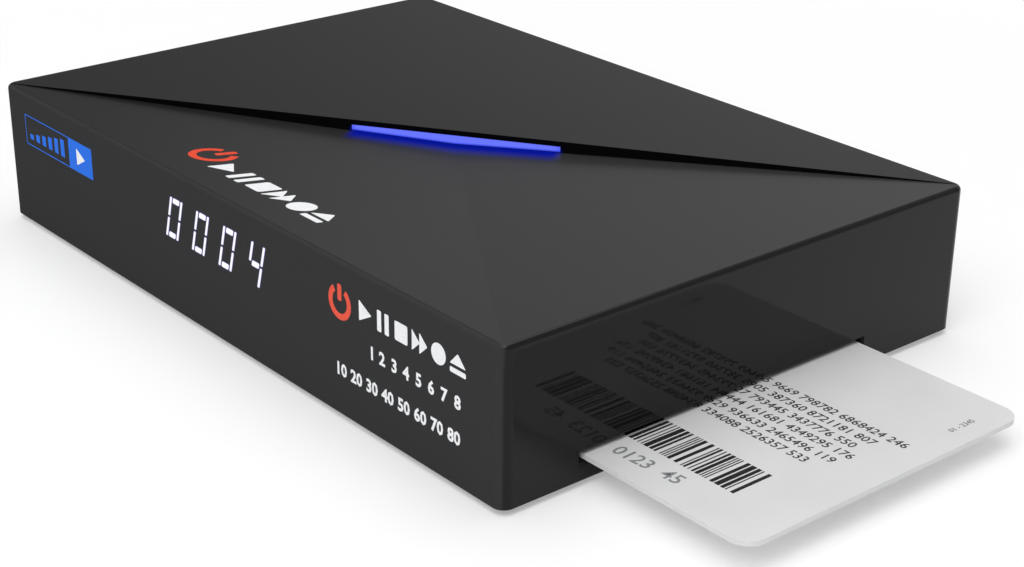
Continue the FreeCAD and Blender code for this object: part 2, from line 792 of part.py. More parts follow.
def make_reader():
    """The card reader under the main board: a frame with the card's channel, and its spring contacts."""
    frame_x = f"{INNER_W} - reader_gap"
    under = f"({CARD_Z} - {TRAY_TOP} + reader_recess - reader_floor_gap)"
    over = f"({BOARD_UNDER} - {CARD_Z})"
    frame = new_body("card_reader_frame", frame_x, "card_mid_y", CARD_Z)
    half = READER_HALF
    corners = [(f"-{half}", f"-{under}"), (half, f"-{under}"), (half, over), (f"-{half}", over)]
    block = outline(sketch_on(frame, "YZ"), corners)
    pad(frame, "block", block, "reader_depth", back=True)
    channel = rectangle(sketch_on(frame, "YZ"), CHANNEL_WIDTH, CHANNEL_HEIGHT)
    mouth = pocket(frame, "channel", channel, "reader_depth - reader_stop")

    side_reach = size("card_width") / 2 + 2 * size("channel_side_gap")
    high_reach = size("card_thick") / 2 + 2 * size("channel_gap")

    def lead(edge):
        box = edge.BoundBox
        beside = all(abs(y) < side_reach for y in (box.YMin, box.YMax))
        level = all(abs(z) < high_reach for z in (box.ZMin, box.ZMax))
        return beside and level and box.XMin > -0.001

    dress(frame, "Chamfer", "lead", mouth, lead, "slot_chamfer")

    chip_x = "(chip_from_end + card_out - card_length + wall + reader_gap)"
    well = rectangle(
        sketch_on(frame, "XY", rise=f"-{under}"),
        "contact_row + 2 * contact_reach + 1",
        "4 * contact_pitch",
        chip_x,
        "chip_from_middle",
    )
    pocket(frame, "contact_well", well, f"{under} - {CHANNEL_HEIGHT} / 4", back=True)
    window_x = f"({chip_x} + reader_depth / 2)"
    windows = sketch_on(frame, "XY", rise=f"-{under}")
    for side in ("", "-"):
        rectangle(windows, "reader_depth / 3", "card_width / 3", window_x, f"{side}card_width / 4")
    pocket(frame, "floor_windows", windows, f"{under} - {CHANNEL_HEIGHT} / 4", back=True)

    first_y = "card_mid_y + chip_from_middle - 1.5 * contact_pitch"
    contacts = new_body("reader_contacts", f"{frame_x} + {chip_x}", first_y, CARD_Z)
    low = f"(-{under} + contact_rise)"
    touch = "(-card_thick / 2 - contact_card_gap)"
    row = "(contact_row / 2)"
    for side in (-1, 1):
        leaf = outline(
            sketch_on(contacts, "XZ", rise="-contact_width / 2"),
            [
                (f"{side} * ({row} + contact_reach)", low),
                (f"{side} * ({row} + contact_reach)", f"{low} + contact_thick"),
                (f"{side} * ({row} + contact_reach * 0.7)", f"{low} + contact_thick"),
                (f"{side} * ({row} + contact_thick)", touch),
                (f"{side} * {row}", touch),
                (f"{side} * ({row} - contact_reach * 0.3)", f"{touch} - 4 * contact_thick"),
                (f"{side} * ({row} - contact_reach * 0.2)", f"{touch} - 5 * contact_thick"),
                (f"{side} * {row}", f"{touch} - 1.5 * contact_thick"),
                (f"{side} * ({row} + contact_reach * 0.65)", low),
            ],
        )
        strip = pad(contacts, f"leaf_{side + 1}", leaf, "contact_width")
        row_of(contacts, f"leaves_{side + 1}", [strip], "Y", "contact_pitch", 4)


def make_card():
    """The smart card and the contact plate let into its underside."""
    card_x = f"{HALF_W} + card_out - card_length / 2"
    card_low = f"{CARD_Z} - card_thick / 2"
    card = new_body("smart_card", card_x, "card_mid_y", card_low)
    sheet_face = rectangle(sketch_on(card, "XY"), "card_length", "card_width")
    sheet_pad = pad(card, "sheet", sheet_face, "card_thick")
    dress(card, "Fillet", "corners", sheet_pad, upright, "card_corner")
    chip_x = "chip_from_end - card_length / 2"
    seat = rectangle(sketch_on(card, "XY"), "chip_length", "chip_width", chip_x, "chip_from_middle")
    pocket(card, "chip_seat", seat, "chip_sink", back=True)
    chip = new_body("card_chip", f"{card_x} + {chip_x}", "card_mid_y + chip_from_middle", card_low)
    plate = pad(
        chip,
        "plate",
        rectangle(sketch_on(chip, "XY"), "chip_length - 2 * insert_gap", "chip_width - 2 * insert_gap"),
        "chip_sink",
    )
    dress(chip, "Fillet", "corners", plate, upright, "chip_corner")


def make_light():
    """The light guide that fills the window in the riser, and the lamps under its leg."""
    guide = new_body("light_guide", turn=FOLD_TURN)
    nose = guide_face(sketch_on(guide, "XZ", rise="-guide_gap"), "guide_gap")
    pad(guide, "nose", nose, "guide_reach - 2 * guide_gap", back=True)
    leg_from, leg_to = "(wall + guide_leg_gap)", "(guide_reach - guide_gap)"
    half = "(guide_length / 2 - guide_gap - guide_end)"
    leg_low = f"({BOARD_TOP} + led_height + led_air)"
    leg = sketch_on(guide, "XZ", rise=f"-{leg_from}")
    high = f"{LIP} - deck_drop / 2 - lip_over_guide / 2"
    outline(
        leg,
        [
            (f"-{half}", BOARD_TOP),
            (f"-{half} + guide_foot", BOARD_TOP),
            (f"-{half} + guide_foot", leg_low),
            (f"{half} - guide_foot", leg_low),
            (f"{half} - guide_foot", BOARD_TOP),
            (half, BOARD_TOP),
            (half, high),
            (f"-{half}", high),
        ],
    )
    pad(guide, "leg", leg, f"{leg_to} - {leg_from}", back=True)

    lamps = new_body("status_lamps", turn=FOLD_TURN, z=BOARD_TOP)
    lamp = rectangle(
        sketch_on(lamps, "XY"), "led_length", "led_width", "-1.5 * led_pitch", f"({leg_from} + {leg_to}) / 2"
    )
    row_of(lamps, "row", [pad(lamps, "lamp", lamp, "led_height")], "X", "led_pitch", 4)


def draw_segments(sketch):
    """The seven strokes of one slanted digit, in the plane of the digits' face."""
    half_w, half_h = "(digit_width / 2)", "(digit_height / 2)"
    lean = "(digit_slant / digit_height)"

    def stroke_box(left, low, right, high):
        corners = [(left, low), (right, low), (right, high), (left, high)]
        outline(sketch, [(f"{x} + ({y}) * {lean}", y) for x, y in corners])

    for level in ("-1", "0", "1"):
        middle = f"{level} * ({half_h} - stroke / 2)"
        inset = f"({half_w} - stroke - stroke_gap)"
        stroke_box(f"-{inset}", f"{middle} - stroke / 2", inset, f"{middle} + stroke / 2")
    for side in ("-1", "1"):
        across = (f"{side} * {half_w}", f"{side} * ({half_w} - stroke)")
        left, right = across if side == "-1" else across[::-1]
        stroke_box(left, f"-{half_h}", right, "-stroke_gap / 2")
        stroke_box(left, "stroke_gap / 2", right, half_h)


def make_display():
    """The four-digit display on its upright board behind the front wall, and the remote's receiver."""
    face_z = f"({BASE} + display_mid_rise)"
    module = new_body("display_module", "display_mid_x", f"-{DISPLAY_FACE}", face_z)
    block = rectangle(sketch_on(module, "XZ"), "display_width", "display_height")
    pad(module, "block", block, "display_depth", back=True)
    first = sketch_on(module, "XZ", x="-1.5 * digit_pitch")
    draw_segments(first)
    row_of(module, "digits", [pocket(module, "digit", first, "segment_sink")], "X", "digit_pitch", 4)

    lenses = new_body("digit_segments", "display_mid_x", f"-{DISPLAY_FACE}", face_z)
    first = sketch_on(lenses, "XZ", x="-1.5 * digit_pitch")
    draw_segments(first)
    row_of(lenses, "digits", [pad(lenses, "digit", first, "segment_sink", back=True)], "X", "digit_pitch", 4)

    board = new_body("display_board", "display_mid_x", f"-{DISPLAY_BACK}", BOARD_TOP)
    sheet_face = sketch_on(board, "XZ")
    rectangle(sheet_face, "display_board_width", "display_board_height", y="display_board_height / 2")
    pad(board, "sheet", sheet_face, "display_board_thick", back=True)

    behind = f"-({DISPLAY_BACK} - display_board_thick)"
    header = new_body("display_header", "display_mid_x", behind, BOARD_TOP)
    bar = rectangle(sketch_on(header, "XZ"), "header_length", "header_size", y="header_size / 2")
    pad(header, "bar", bar, "header_size", back=True)

    eye = new_body("infrared_receiver", "infrared_x", f"-{DISPLAY_BACK}", face_z)
    case = rectangle(sketch_on(eye, "XZ"), "infrared_width", "infrared_height", y="-infrared_drop")
    pad(eye, "case", case, "infrared_depth")
    lens = pad(eye, "lens", circle(sketch_on(eye, "XZ"), "infrared_lens"), "display_depth - infrared_gap")
    front = size("infrared_gap") - size("display_depth")
    dress(eye, "Fillet", "dome", lens, lambda e: e.BoundBox.YMax < front + 0.001, "infrared_lens * 0.8")


def make_tuner():
    """The screened tuner with its lid, and the threaded aerial socket through the rear panel."""
    can_y = f"({CAN_REAR} - can_depth / 2)"
    can = new_body("tuner_can", "lnb_x", can_y, BOARD_TOP)
    ring = rectangle(sketch_on(can, "XY"), "can_width", "can_depth")
    pad(can, "block", ring, "can_height")
    inside = ("can_width - 2 * can_wall", "can_depth - 2 * can_wall")
    hollow = rectangle(sketch_on(can, "XY", rise="can_height"), *inside)
    pocket(can, "hollow", hollow, "can_height")

    lid = new_body("tuner_lid", "lnb_x", can_y, f"{BOARD_TOP} + can_height")
    reach = "(can_width / 2 + lid_gap)"
    cap = outline(
        sketch_on(lid, "XZ", rise="-can_depth / 2"),
        [
            (f"-({reach} + lid_thick)", "lid_thick"),
            (f"-({reach} + lid_thick)", "-lid_skirt"),
            (f"-{reach}", "-lid_skirt"),
            (f"-{reach}", "0"),
            (reach, "0"),
            (reach, "-lid_skirt"),
            (f"{reach} + lid_thick", "-lid_skirt"),
            (f"{reach} + lid_thick", "lid_thick"),
        ],
    )
    pad(lid, "channel", cap, "can_depth")
    trim = circle(sketch_on(lid, "XY", rise="lid_thick"), "trim_hole", "-trim_pitch", "-trim_pitch")
    row_of(lid, "trim_holes", [pocket(lid, "trim_hole", trim, "lid_thick")], "X", "trim_pitch", 3)

    socket = new_body("aerial_socket", "lnb_x", CAN_REAR, f"{BOARD_TOP} + lnb_rise")
    shoulder = f"({PANEL_REAR} + lnb_shoulder_proud - {CAN_REAR})"
    tip = f"({shoulder} + lnb_length)"
    flats = sketch_on(socket, "XZ")
    corners = [(math.cos(math.radians(60 * i)), math.sin(math.radians(60 * i))) for i in range(6)]
    outline(flats, [(f"lnb_flats / sqrt(3) * {c:.6f}", f"lnb_flats / sqrt(3) * {s:.6f}") for c, s in corners])
    pad(socket, "shoulder", flats, shoulder, back=True)
    barrel = outline(
        sketch_on(socket, "XY"),
        [
            ("0", "0"),
            ("lnb_radius", "0"),
            ("lnb_radius", f"{tip} - lnb_chamfer"),
            ("lnb_radius - lnb_chamfer", tip),
            ("0", tip),
        ],
    )
    revolve(socket, "barrel", barrel, "Y")
    bore = circle(sketch_on(socket, "XZ", rise=f"-{tip}"), "lnb_bore")
    pocket(socket, "bore", bore, tip, back=True)

    core = new_body("aerial_insulator", "lnb_x", CAN_REAR, f"{BOARD_TOP} + lnb_rise")
    plug = circle(sketch_on(core, "XZ"), "lnb_bore - insert_gap")
    pad(core, "plug", plug, f"{tip} - lnb_core_sink", back=True)
    hole = circle(sketch_on(core, "XZ", rise=f"-({tip} - lnb_core_sink)"), "lnb_core")
    pocket(core, "hole", hole, "lnb_length", back=True)


def make_network():
    """The network socket: a stepped mouth for the plug and its latch, and eight sprung wires."""
    socket = new_body("network_socket", "lan_x", MOUTH, BOARD_TOP)
    block = rectangle(sketch_on(socket, "XZ"), "lan_width", "lan_height", y="lan_height / 2")
    pad(socket, "block", block, "lan_depth")
    top = "(lan_height - lan_roof)"
    low = f"({top} - lan_mouth_height)"
    half, latch, end = "(lan_mouth / 2)", "(lan_latch / 2)", "(lan_latch_end / 2)"
    mouth = outline(
        sketch_on(socket, "XZ"),
        [
            (f"-{half}", top),
            (f"-{half}", low),
            (f"-{latch}", low),
            (f"-{latch}", f"{low} - lan_step"),
            (f"-{end}", f"{low} - lan_step"),
            (f"-{end}", f"{low} - 2 * lan_step"),
            (end, f"{low} - 2 * lan_step"),
            (end, f"{low} - lan_step"),
            (latch, f"{low} - lan_step"),
            (latch, low),
            (half, low),
            (half, top),
        ],
    )
    pocket(socket, "mouth", mouth, "lan_mouth_depth", back=True)
    lamps = sketch_on(socket, "XZ")
    for side in ("", "-"):
        rectangle(lamps, "lan_lamp_width", "lan_lamp_height", f"{side}lan_lamp_x", "lan_lamp_rise")
    pocket(socket, "lamp_seats", lamps, "lan_lamp_depth", back=True)

    pins = new_body("network_contacts", "lan_x - 3.5 * lan_pin_pitch", MOUTH, f"{BOARD_TOP} + {top}")
    wire = outline(
        sketch_on(pins, "YZ", rise="-lan_pin_width / 2"),
        [
            ("-lan_mouth_depth", "0"),
            ("-lan_mouth_depth / 3", "0"),
            ("-lan_mouth_depth / 3", "-lan_pin_bend"),
            ("-lan_mouth_depth * 0.75", "-lan_pin_drop"),
            ("-lan_mouth_depth * 0.8", "-lan_pin_drop + lan_pin_tip"),
            ("-lan_mouth_depth / 2.2", "-lan_pin_thick"),
            ("-lan_mouth_depth", "-lan_pin_thick"),
        ],
    )
    row_of(pins, "wires", [pad(pins, "wire", wire, "lan_pin_width")], "X", "lan_pin_pitch", 8)


def spring_windows(shell, height):
    """Cut the two windows in a shell's top that its sprung leaves stand in."""
    windows = sketch_on(shell, "XY", rise=height)
    middle = "-(spring_in + spring_length / 2)"
    for side in ("", "-"):
        rectangle(windows, "spring_width", "spring_length", f"{side}spring_pitch / 2", middle)
    pocket(shell, "spring_windows", windows, "metal")


def make_screen_socket():
    """The screen socket: a folded metal shell with bevelled lower corners round a flat tongue."""
    shell = new_body("screen_socket", "hdmi_x", MOUTH, BOARD_TOP)

    def section(margin):
        half = f"(hdmi_width / 2 - {margin})"
        bevel = f"(hdmi_bevel - {margin} / 2)"
        return outline(
            sketch_on(shell, "XZ"),
            [
                (f"-{half}", f"hdmi_height - {margin}"),
                (f"-{half}", f"{bevel} + {margin}"),
                (f"-{half} + {bevel}", margin),
                (f"{half} - {bevel}", margin),
                (half, f"{bevel} + {margin}"),
                (half, f"hdmi_height - {margin}"),
            ],
        )

    pad(shell, "shell", section("0"), "hdmi_depth")
    pocket(shell, "mouth", section("metal"), "hdmi_depth - hdmi_floor", back=True)
    spring_windows(shell, "hdmi_height")
    tongue = new_body("screen_socket_tongue", "hdmi_x", f"{MOUTH} - hdmi_depth + hdmi_floor", BOARD_TOP)
    face = rectangle(sketch_on(tongue, "XZ"), "hdmi_tongue_width", "hdmi_tongue_thick", y="hdmi_tongue_rise")
    pad(tongue, "blade", face, "hdmi_tongue_length", back=True)


def make_data_socket():
    """The data socket: a metal shell with a tongue near its top."""
    shell = new_body("data_socket", "usb_x", MOUTH, BOARD_TOP)
    middle = "usb_height / 2"
    outside = rectangle(sketch_on(shell, "XZ"), "usb_width", "usb_height", y=middle)
    pad(shell, "shell", outside, "usb_depth")
    mouth = rectangle(sketch_on(shell, "XZ"), "usb_width - 2 * metal", "usb_height - 2 * metal", y=middle)
    pocket(shell, "mouth", mouth, "usb_depth - hdmi_floor", back=True)
    spring_windows(shell, "usb_height")
    tongue = new_body("data_socket_tongue", "usb_x", f"{MOUTH} - usb_depth + hdmi_floor", BOARD_TOP)
    rise = "usb_height - metal - usb_tongue_above - usb_tongue_thick / 2"
    face = rectangle(sketch_on(tongue, "XZ"), "usb_tongue_width", "usb_tongue_thick", y=rise)
    pad(tongue, "blade", face, "usb_tongue_length", back=True)


def make_optical():
    """The optical sound socket, with a door on a cross pin that a plug pushes in and up."""
    socket = new_body("optical_socket", "optical_x", MOUTH, BOARD_TOP)
    pad(
        socket,
        "block",
        rectangle(sketch_on(socket, "XZ"), "optical_width", "optical_height", y="optical_height / 2"),
        "optical_depth",
    )
    middle = "(optical_floor + optical_mouth / 2)"
    pocket(
        socket,
        "mouth",
        rectangle(sketch_on(socket, "XZ"), "optical_mouth", "optical_mouth", y=middle),
        "optical_mouth_depth",
        back=True,
    )
    nozzle = circle(sketch_on(socket, "XZ", rise="optical_mouth_depth"), "nozzle_radius", y=middle)
    pad(socket, "nozzle", nozzle, "nozzle_length", back=True)
    axis_z = "(optical_floor + optical_mouth - door_axis_below)"
    pin_bore = circle(
        sketch_on(socket, "YZ", rise="optical_width / 2"), "door_pin + door_pin_gap", "-door_axis_in", axis_z
    )
    pocket(socket, "pin_bore", pin_bore, "optical_width")

    door = new_body("optical_door", "optical_x", f"{MOUTH} - door_axis_in", f"{BOARD_TOP} + {axis_z}")
    width = "(optical_mouth - 2 * door_side_gap)"
    drop = "(optical_mouth - door_axis_below - door_foot_gap)"
    leaf = outline(
        sketch_on(door, "YZ", rise=f"-{width} / 2"),
        [
            ("-door_thick / 2", f"-{drop}"),
            ("door_thick / 2", f"-{drop}"),
            ("door_thick / 2", "0"),
            ("-door_thick / 2", "0"),
        ],
    )
    pad(door, "leaf", leaf, width)
    pad(door, "barrel", circle(sketch_on(door, "YZ", rise=f"-{width} / 2"), "door_barrel"), width)
    pin = "(optical_width - 2 * door_side_gap)"
    pad(door, "pin", circle(sketch_on(door, "YZ", rise=f"-{pin} / 2"), "door_pin"), pin)


def make_jack():
    """The round sound and picture jack."""
    jack = new_body("sound_jack", "jack_x", MOUTH, f"{BOARD_TOP} + jack_height / 2")
    pad(jack, "nose", circle(sketch_on(jack, "XZ"), "jack_nose"), "jack_nose_length")
    block = rectangle(sketch_on(jack, "XZ", rise="jack_nose_length"), "jack_width", "jack_height")
    pad(jack, "block", block, "jack_depth")
    pocket(jack, "bore", circle(sketch_on(jack, "XZ"), "jack_bore"), "jack_bore_depth", back=True)


def make_power():
    """The power inlet: a round well with a centre pin."""
    inlet = new_body("power_inlet", "power_x", MOUTH, BOARD_TOP)
    block = rectangle(sketch_on(inlet, "XZ"), "power_width", "power_height", y="power_height / 2")
    pad(inlet, "block", block, "power_depth")
    well = circle(sketch_on(inlet, "XZ"), "power_bore", y="power_rise")
    pocket(inlet, "well", well, "power_bore_depth", back=True)
    pin = new_body("power_inlet_pin", "power_x", f"{MOUTH} - power_bore_depth", f"{BOARD_TOP} + power_rise")
    post = pad(pin, "post", circle(sketch_on(pin, "XZ"), "power_pin"), "power_pin_length", back=True)
    tip = size("power_pin_length")
    dress(pin, "Fillet", "tip", post, lambda e: e.BoundBox.YMin > tip - 0.001, "power_pin / 2")


def chip_dimple(chip, width, length):
    """The shallow dimple that tells which corner of a chip is its first."""
    x, y = f"-({width} / 2 - chip_mark_inset)", f"({length} / 2 - chip_mark_inset)"
    mark = circle(sketch_on(chip, "XY", rise="chip_height"), "chip_mark", x, y)
    return pocket(chip, "dimple", mark, "chip_mark_depth")


def make_chips():
    """The processor with its heat sink, and the other parts that stand on the main board."""
    soc = new_body("processor", "soc_x", "soc_y", BOARD_TOP)
    pad(soc, "case", rectangle(sketch_on(soc, "XY"), "soc_side", "soc_side"), "soc_thick")
    thermal = new_body("thermal_pad", "soc_x", "soc_y", f"{BOARD_TOP} + soc_thick")
    pad(thermal, "sheet", rectangle(sketch_on(thermal, "XY"), "pad_side", "pad_side"), "pad_thick")
    sink = new_body("heat_sink", "soc_x", "soc_y", f"{BOARD_TOP} + soc_thick + pad_thick")
    pad(sink, "base", rectangle(sketch_on(sink, "XY"), "sink_side", "sink_side"), "sink_base")
    fin = rectangle(
        sketch_on(sink, "XY", rise="sink_base"), "fin_thick", "sink_side", "(fin_thick - sink_side) / 2"
    )
    row_of(sink, "fins", [pad(sink, "fin", fin, "fin_height")], "X", "fin_pitch", 9)

    memory = new_body("memory_chips", "memory_x", "memory_y", BOARD_TOP)
    case = rectangle(sketch_on(memory, "XY"), "memory_width", "memory_length")
    chip = pad(memory, "chip", case, "chip_height")
    dimple = chip_dimple(memory, "memory_width", "memory_length")
    row_of(memory, "pair", [chip, dimple], "X", "memory_pitch", 2)
    flash = new_body("flash_chip", "flash_x", "flash_y", BOARD_TOP)
    pad(flash, "case", rectangle(sketch_on(flash, "XY"), "flash_length", "flash_width"), "chip_height")
    chip_dimple(flash, "flash_length", "flash_width")

    coils = new_body("power_coils", "coil_x", "coil_y", BOARD_TOP)
    coil = pad(coils, "coil", rectangle(sketch_on(coils, "XY"), "coil_side", "coil_side"), "coil_height")
    rounded = dress(coils, "Fillet", "sides", coil, upright, "coil_round")
    row_of(coils, "row", [coil, rounded], "X", "coil_pitch", 3)

    caps = new_body("can_capacitors", "can_cap_x", "can_cap_y", BOARD_TOP)
    cans = sketch_on(caps, "XY")
    bases = sketch_on(caps, "XY")
    for step in range(3):
        circle(cans, "can_cap_radius", f"{step} * can_cap_pitch")
        rectangle(bases, "can_cap_base", "can_cap_base", f"{step} * can_cap_pitch")
    can = pad(caps, "cans", cans, "can_cap_height")
    dress(caps, "Chamfer", "tops", can, level_at(size("can_cap_height")), "can_cap_round")
    pad(caps, "bases", bases, "can_cap_base_height")

    crystal = new_body("clock_crystal", "crystal_x", "crystal_y", BOARD_TOP)
    footprint = rectangle(sketch_on(crystal, "XY"), "crystal_length", "crystal_width")
    can = pad(crystal, "can", footprint, "crystal_height")
    dress(crystal, "Fillet", "ends", can, upright, "crystal_width / 2.2")


make_cover()
make_tray()
make_feet()
make_screws(
    "case_screws",
    BOSSES,
    f"{BASE} + head_sink",
    "case_head_radius",
    "case_head_height",
    "case_screw_radius",
    "case_screw_length",
    up=True,
)
make_panel()
make_board()
make_screws(
    "board_screws",
    STANDOFFS,
    BOARD_TOP,
    "board_head_radius",
    "board_head_height",
    "board_screw_radius",
    "board_screw_length",
    up=False,
)
make_reader()
make_card()
make_light()
make_display()
make_tuner()
make_network()
make_screen_socket()
make_data_socket()
make_optical()
make_jack()
make_power()
make_chips()
doc.recompute()

faults = [item.Name for item in doc.Objects if "Invalid" in item.State or "Error" in item.State]
for item in doc.Objects:
    base = getattr(item, "BaseFeature", None)
    if item.TypeId == "PartDesign::Pocket" and base is not None:
        if item.Shape.isNull() or item.Shape.Volume > base.Shape.Volume - 0.001:
            faults.append(f"{item.Name} takes nothing away")
for body in kept:
    shape = body.Shape
    if shape.isNull() or not shape.isValid() or shape.Volume <= 0:
        faults.append(f"{body.Label} has no sound shape")
if faults:
    raise RuntimeError("; ".join(faults))

os.makedirs("parts", exist_ok=True)
for body in kept:
    body.Shape.exportStep(f"parts/{body.Label}.step")
    print(body.Label, len(body.Shape.Solids), round(body.Shape.Volume, 1))
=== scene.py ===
"""Looks of a small satellite television receiver with a smart card in its side slot.

Metres, +Z up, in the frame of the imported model: the origin is on the table under the middle of
the case, the front faces -Y and the card stands out of the +X wall.
"""

import json
import logging
import math
import random
from collections.abc import Callable, Iterator, Sequence
from contextlib import contextmanager
from dataclasses import dataclass, field
from enum import Enum

import bmesh
import bpy
from mathutils import Matrix, Vector


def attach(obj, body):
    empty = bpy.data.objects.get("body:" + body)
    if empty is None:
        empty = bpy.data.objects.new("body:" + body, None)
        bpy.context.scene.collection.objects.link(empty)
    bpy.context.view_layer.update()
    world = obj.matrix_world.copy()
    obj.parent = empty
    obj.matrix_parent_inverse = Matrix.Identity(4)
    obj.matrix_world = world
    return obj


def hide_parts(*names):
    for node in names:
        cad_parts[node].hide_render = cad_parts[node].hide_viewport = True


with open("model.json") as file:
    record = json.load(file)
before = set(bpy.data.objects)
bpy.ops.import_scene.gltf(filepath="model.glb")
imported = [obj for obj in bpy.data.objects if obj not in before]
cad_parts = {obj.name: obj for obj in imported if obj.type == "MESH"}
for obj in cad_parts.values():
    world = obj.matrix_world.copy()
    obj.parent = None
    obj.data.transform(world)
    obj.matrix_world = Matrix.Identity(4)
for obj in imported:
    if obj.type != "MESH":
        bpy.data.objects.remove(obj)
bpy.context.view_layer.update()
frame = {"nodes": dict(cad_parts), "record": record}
LOG = logging.getLogger("receiver")
MM = 0.001
MERGE = 1e-7
SMOOTH = math.radians(35)
FIGURE_SHARE = 0.73
Triple = tuple[float, float, float]
Colour = Triple
Piece = bpy.types.Object


# ---- materials ----


class Signal:
    """A number that varies over a surface; Python's operators add Math nodes."""

    def __init__(self, paint: "Paint", socket: bpy.types.NodeSocket) -> None:
        """Keep the paint that owns the socket."""
        self.paint = paint
        self.socket = socket

    def _math(self, operation: str, *others: "Signal | float") -> "Signal":
        """Join this number with others in one Math node."""
        node = self.paint.node("ShaderNodeMath", {"operation": operation}, self, *others)
        return Signal(self.paint, node.outputs[0])

    def __add__(self, other: "Signal | float") -> "Signal":
        """Sum."""
        return self._math("ADD", other)

    __radd__ = __add__

    def __sub__(self, other: "Signal | float") -> "Signal":
        """Difference."""
        return self._math("SUBTRACT", other)

    def __rsub__(self, other: float) -> "Signal":
        """Difference from a plain number."""
        return (self * -1.0) + other

    def __mul__(self, other: "Signal | float") -> "Signal":
        """Product."""
        return self._math("MULTIPLY", other)

    __rmul__ = __mul__

    def __truediv__(self, other: "Signal | float") -> "Signal":
        """Quotient."""
        return self._math("DIVIDE", other)

    def __abs__(self) -> "Signal":
        """Size without sign."""
        return self._math("ABSOLUTE")

    def __pow__(self, other: float) -> "Signal":
        """Power."""
        return self._math("POWER", other)

    def least(self, other: "Signal | float") -> "Signal":
        """The smaller of two numbers."""
        return self._math("MINIMUM", other)

    def most(self, other: "Signal | float") -> "Signal":
        """The larger of two numbers."""
        return self._math("MAXIMUM", other)

    def part(self) -> "Signal":
        """The part after the point."""
        return self._math("FRACT")

    def rise(self, low: float, high: float) -> "Signal":
        """A soft step from 0 at low to 1 at high."""
        settings = {"interpolation_type": "SMOOTHSTEP"}
        node = self.paint.node("ShaderNodeMapRange", settings, self, low, high, 0.0, 1.0)
        return Signal(self.paint, node.outputs[0])


class Paint:
    """A material that is being mixed from nodes."""

    def __init__(self, name: str) -> None:
        """Start with an empty shader of that name."""
        self.material = bpy.data.materials.new(name)
        self.material.use_nodes = True
        self.tree = self.material.node_tree
        self.shader = self.tree.nodes["Principled BSDF"]
        self._place: bpy.types.NodeSocket | None = None

    def feed(self, socket: bpy.types.NodeSocket, value: object) -> None:
        """Link a signal or a socket into a socket, or set its own value; None leaves it alone."""
        if isinstance(value, Signal):
            value = value.socket
        if isinstance(value, bpy.types.NodeSocket):
            self.tree.links.new(value, socket)
        elif isinstance(value, tuple) and socket.type == "RGBA":
            socket.default_value = (*value, 1.0)
        elif value is not None:
            socket.default_value = value

    def node(
        self, kind: str, settings: dict[str, object], *values: object, **named: object
    ) -> bpy.types.Node:
        """Add a node.

        Args:
            kind: the node's type.
            settings: properties to set first.
            values: numbers, colours, sockets or signals for the inputs, in order; None skips one.
            named: the same by input name, with underscores for spaces.

        Returns:
            The new node.
        """
        node = self.tree.nodes.new(kind)
        for key, value in settings.items():
            setattr(node, key, value)
        for index, value in enumerate(values):
            self.feed(node.inputs[index], value)
        for key, value in named.items():
            self.feed(node.inputs[key.replace("_", " ")], value)
        return node

    def place(self) -> bpy.types.NodeSocket:
        """The point on the object, in metres."""
        if self._place is None:
            self._place = self.node("ShaderNodeTexCoord", {}).outputs["Object"]
        return self._place

    def xyz(self) -> list[Signal]:
        """The point's three numbers, in millimetres."""
        split = self.node("ShaderNodeSeparateXYZ", {}, self.place())
        return [Signal(self, split.outputs[i]) * 1000.0 for i in range(3)]

    def attribute(self, name: str) -> Signal:
        """A number that the mesh carries."""
        return Signal(self, self.node("ShaderNodeAttribute", {"attribute_name": name}).outputs["Fac"])

    def noise(self, size: float, detail: float = 3.0, stretch: Triple = (1.0, 1.0, 1.0)) -> Signal:
        """Soft noise.

        Args:
            size: the size of its patches in metres.
            detail: how many finer layers it has.
            stretch: how much denser it is along each axis.

        Returns:
            A number around 0.5.
        """
        moved = self.node("ShaderNodeMapping", {}, self.place(), Scale=stretch).outputs[0]
        node = self.node("ShaderNodeTexNoise", {}, moved, None, 1.0 / size, detail)
        return Signal(self, node.outputs[0])

    def cells(self, size: float) -> Signal:
        """The distance to the nearest of many scattered points, in patches of that size."""
        node = self.node("ShaderNodeTexVoronoi", {}, self.place(), None, 1.0 / size)
        return Signal(self, node.outputs["Distance"])

    def blend(self, factor: Signal, low: object, high: object) -> bpy.types.NodeSocket:
        """Mix two colours, low at 0 and high at 1."""
        node = self.node("ShaderNodeMix", {"data_type": "RGBA"})
        for index, value in ((0, factor), (6, low), (7, high)):
            self.feed(node.inputs[index], value)
        return node.outputs[2]

    def grain(self, height: Signal, depth: float) -> None:
        """Raise the surface by that height times a depth in metres."""
        node = self.node("ShaderNodeBump", {}, 1.0, depth, Height=height)
        self.tree.links.new(node.outputs[0], self.shader.inputs["Normal"])

    def lay_over(self, factor: Signal, shader: bpy.types.Node) -> None:
        """Mix another shader over the one that reaches the output, by a factor."""
        end = self.tree.nodes["Material Output"].inputs["Surface"]
        under = end.links[0].from_socket
        mixed = self.node("ShaderNodeMixShader", {}, factor, under, shader.outputs[0])
        self.tree.links.new(mixed.outputs[0], end)

    def coat(self, **values: object) -> bpy.types.Material:
        """Set the shader's own sockets and give the material."""
        for key, value in values.items():
            self.feed(self.shader.inputs[key.replace("_", " ")], value)
        return self.material


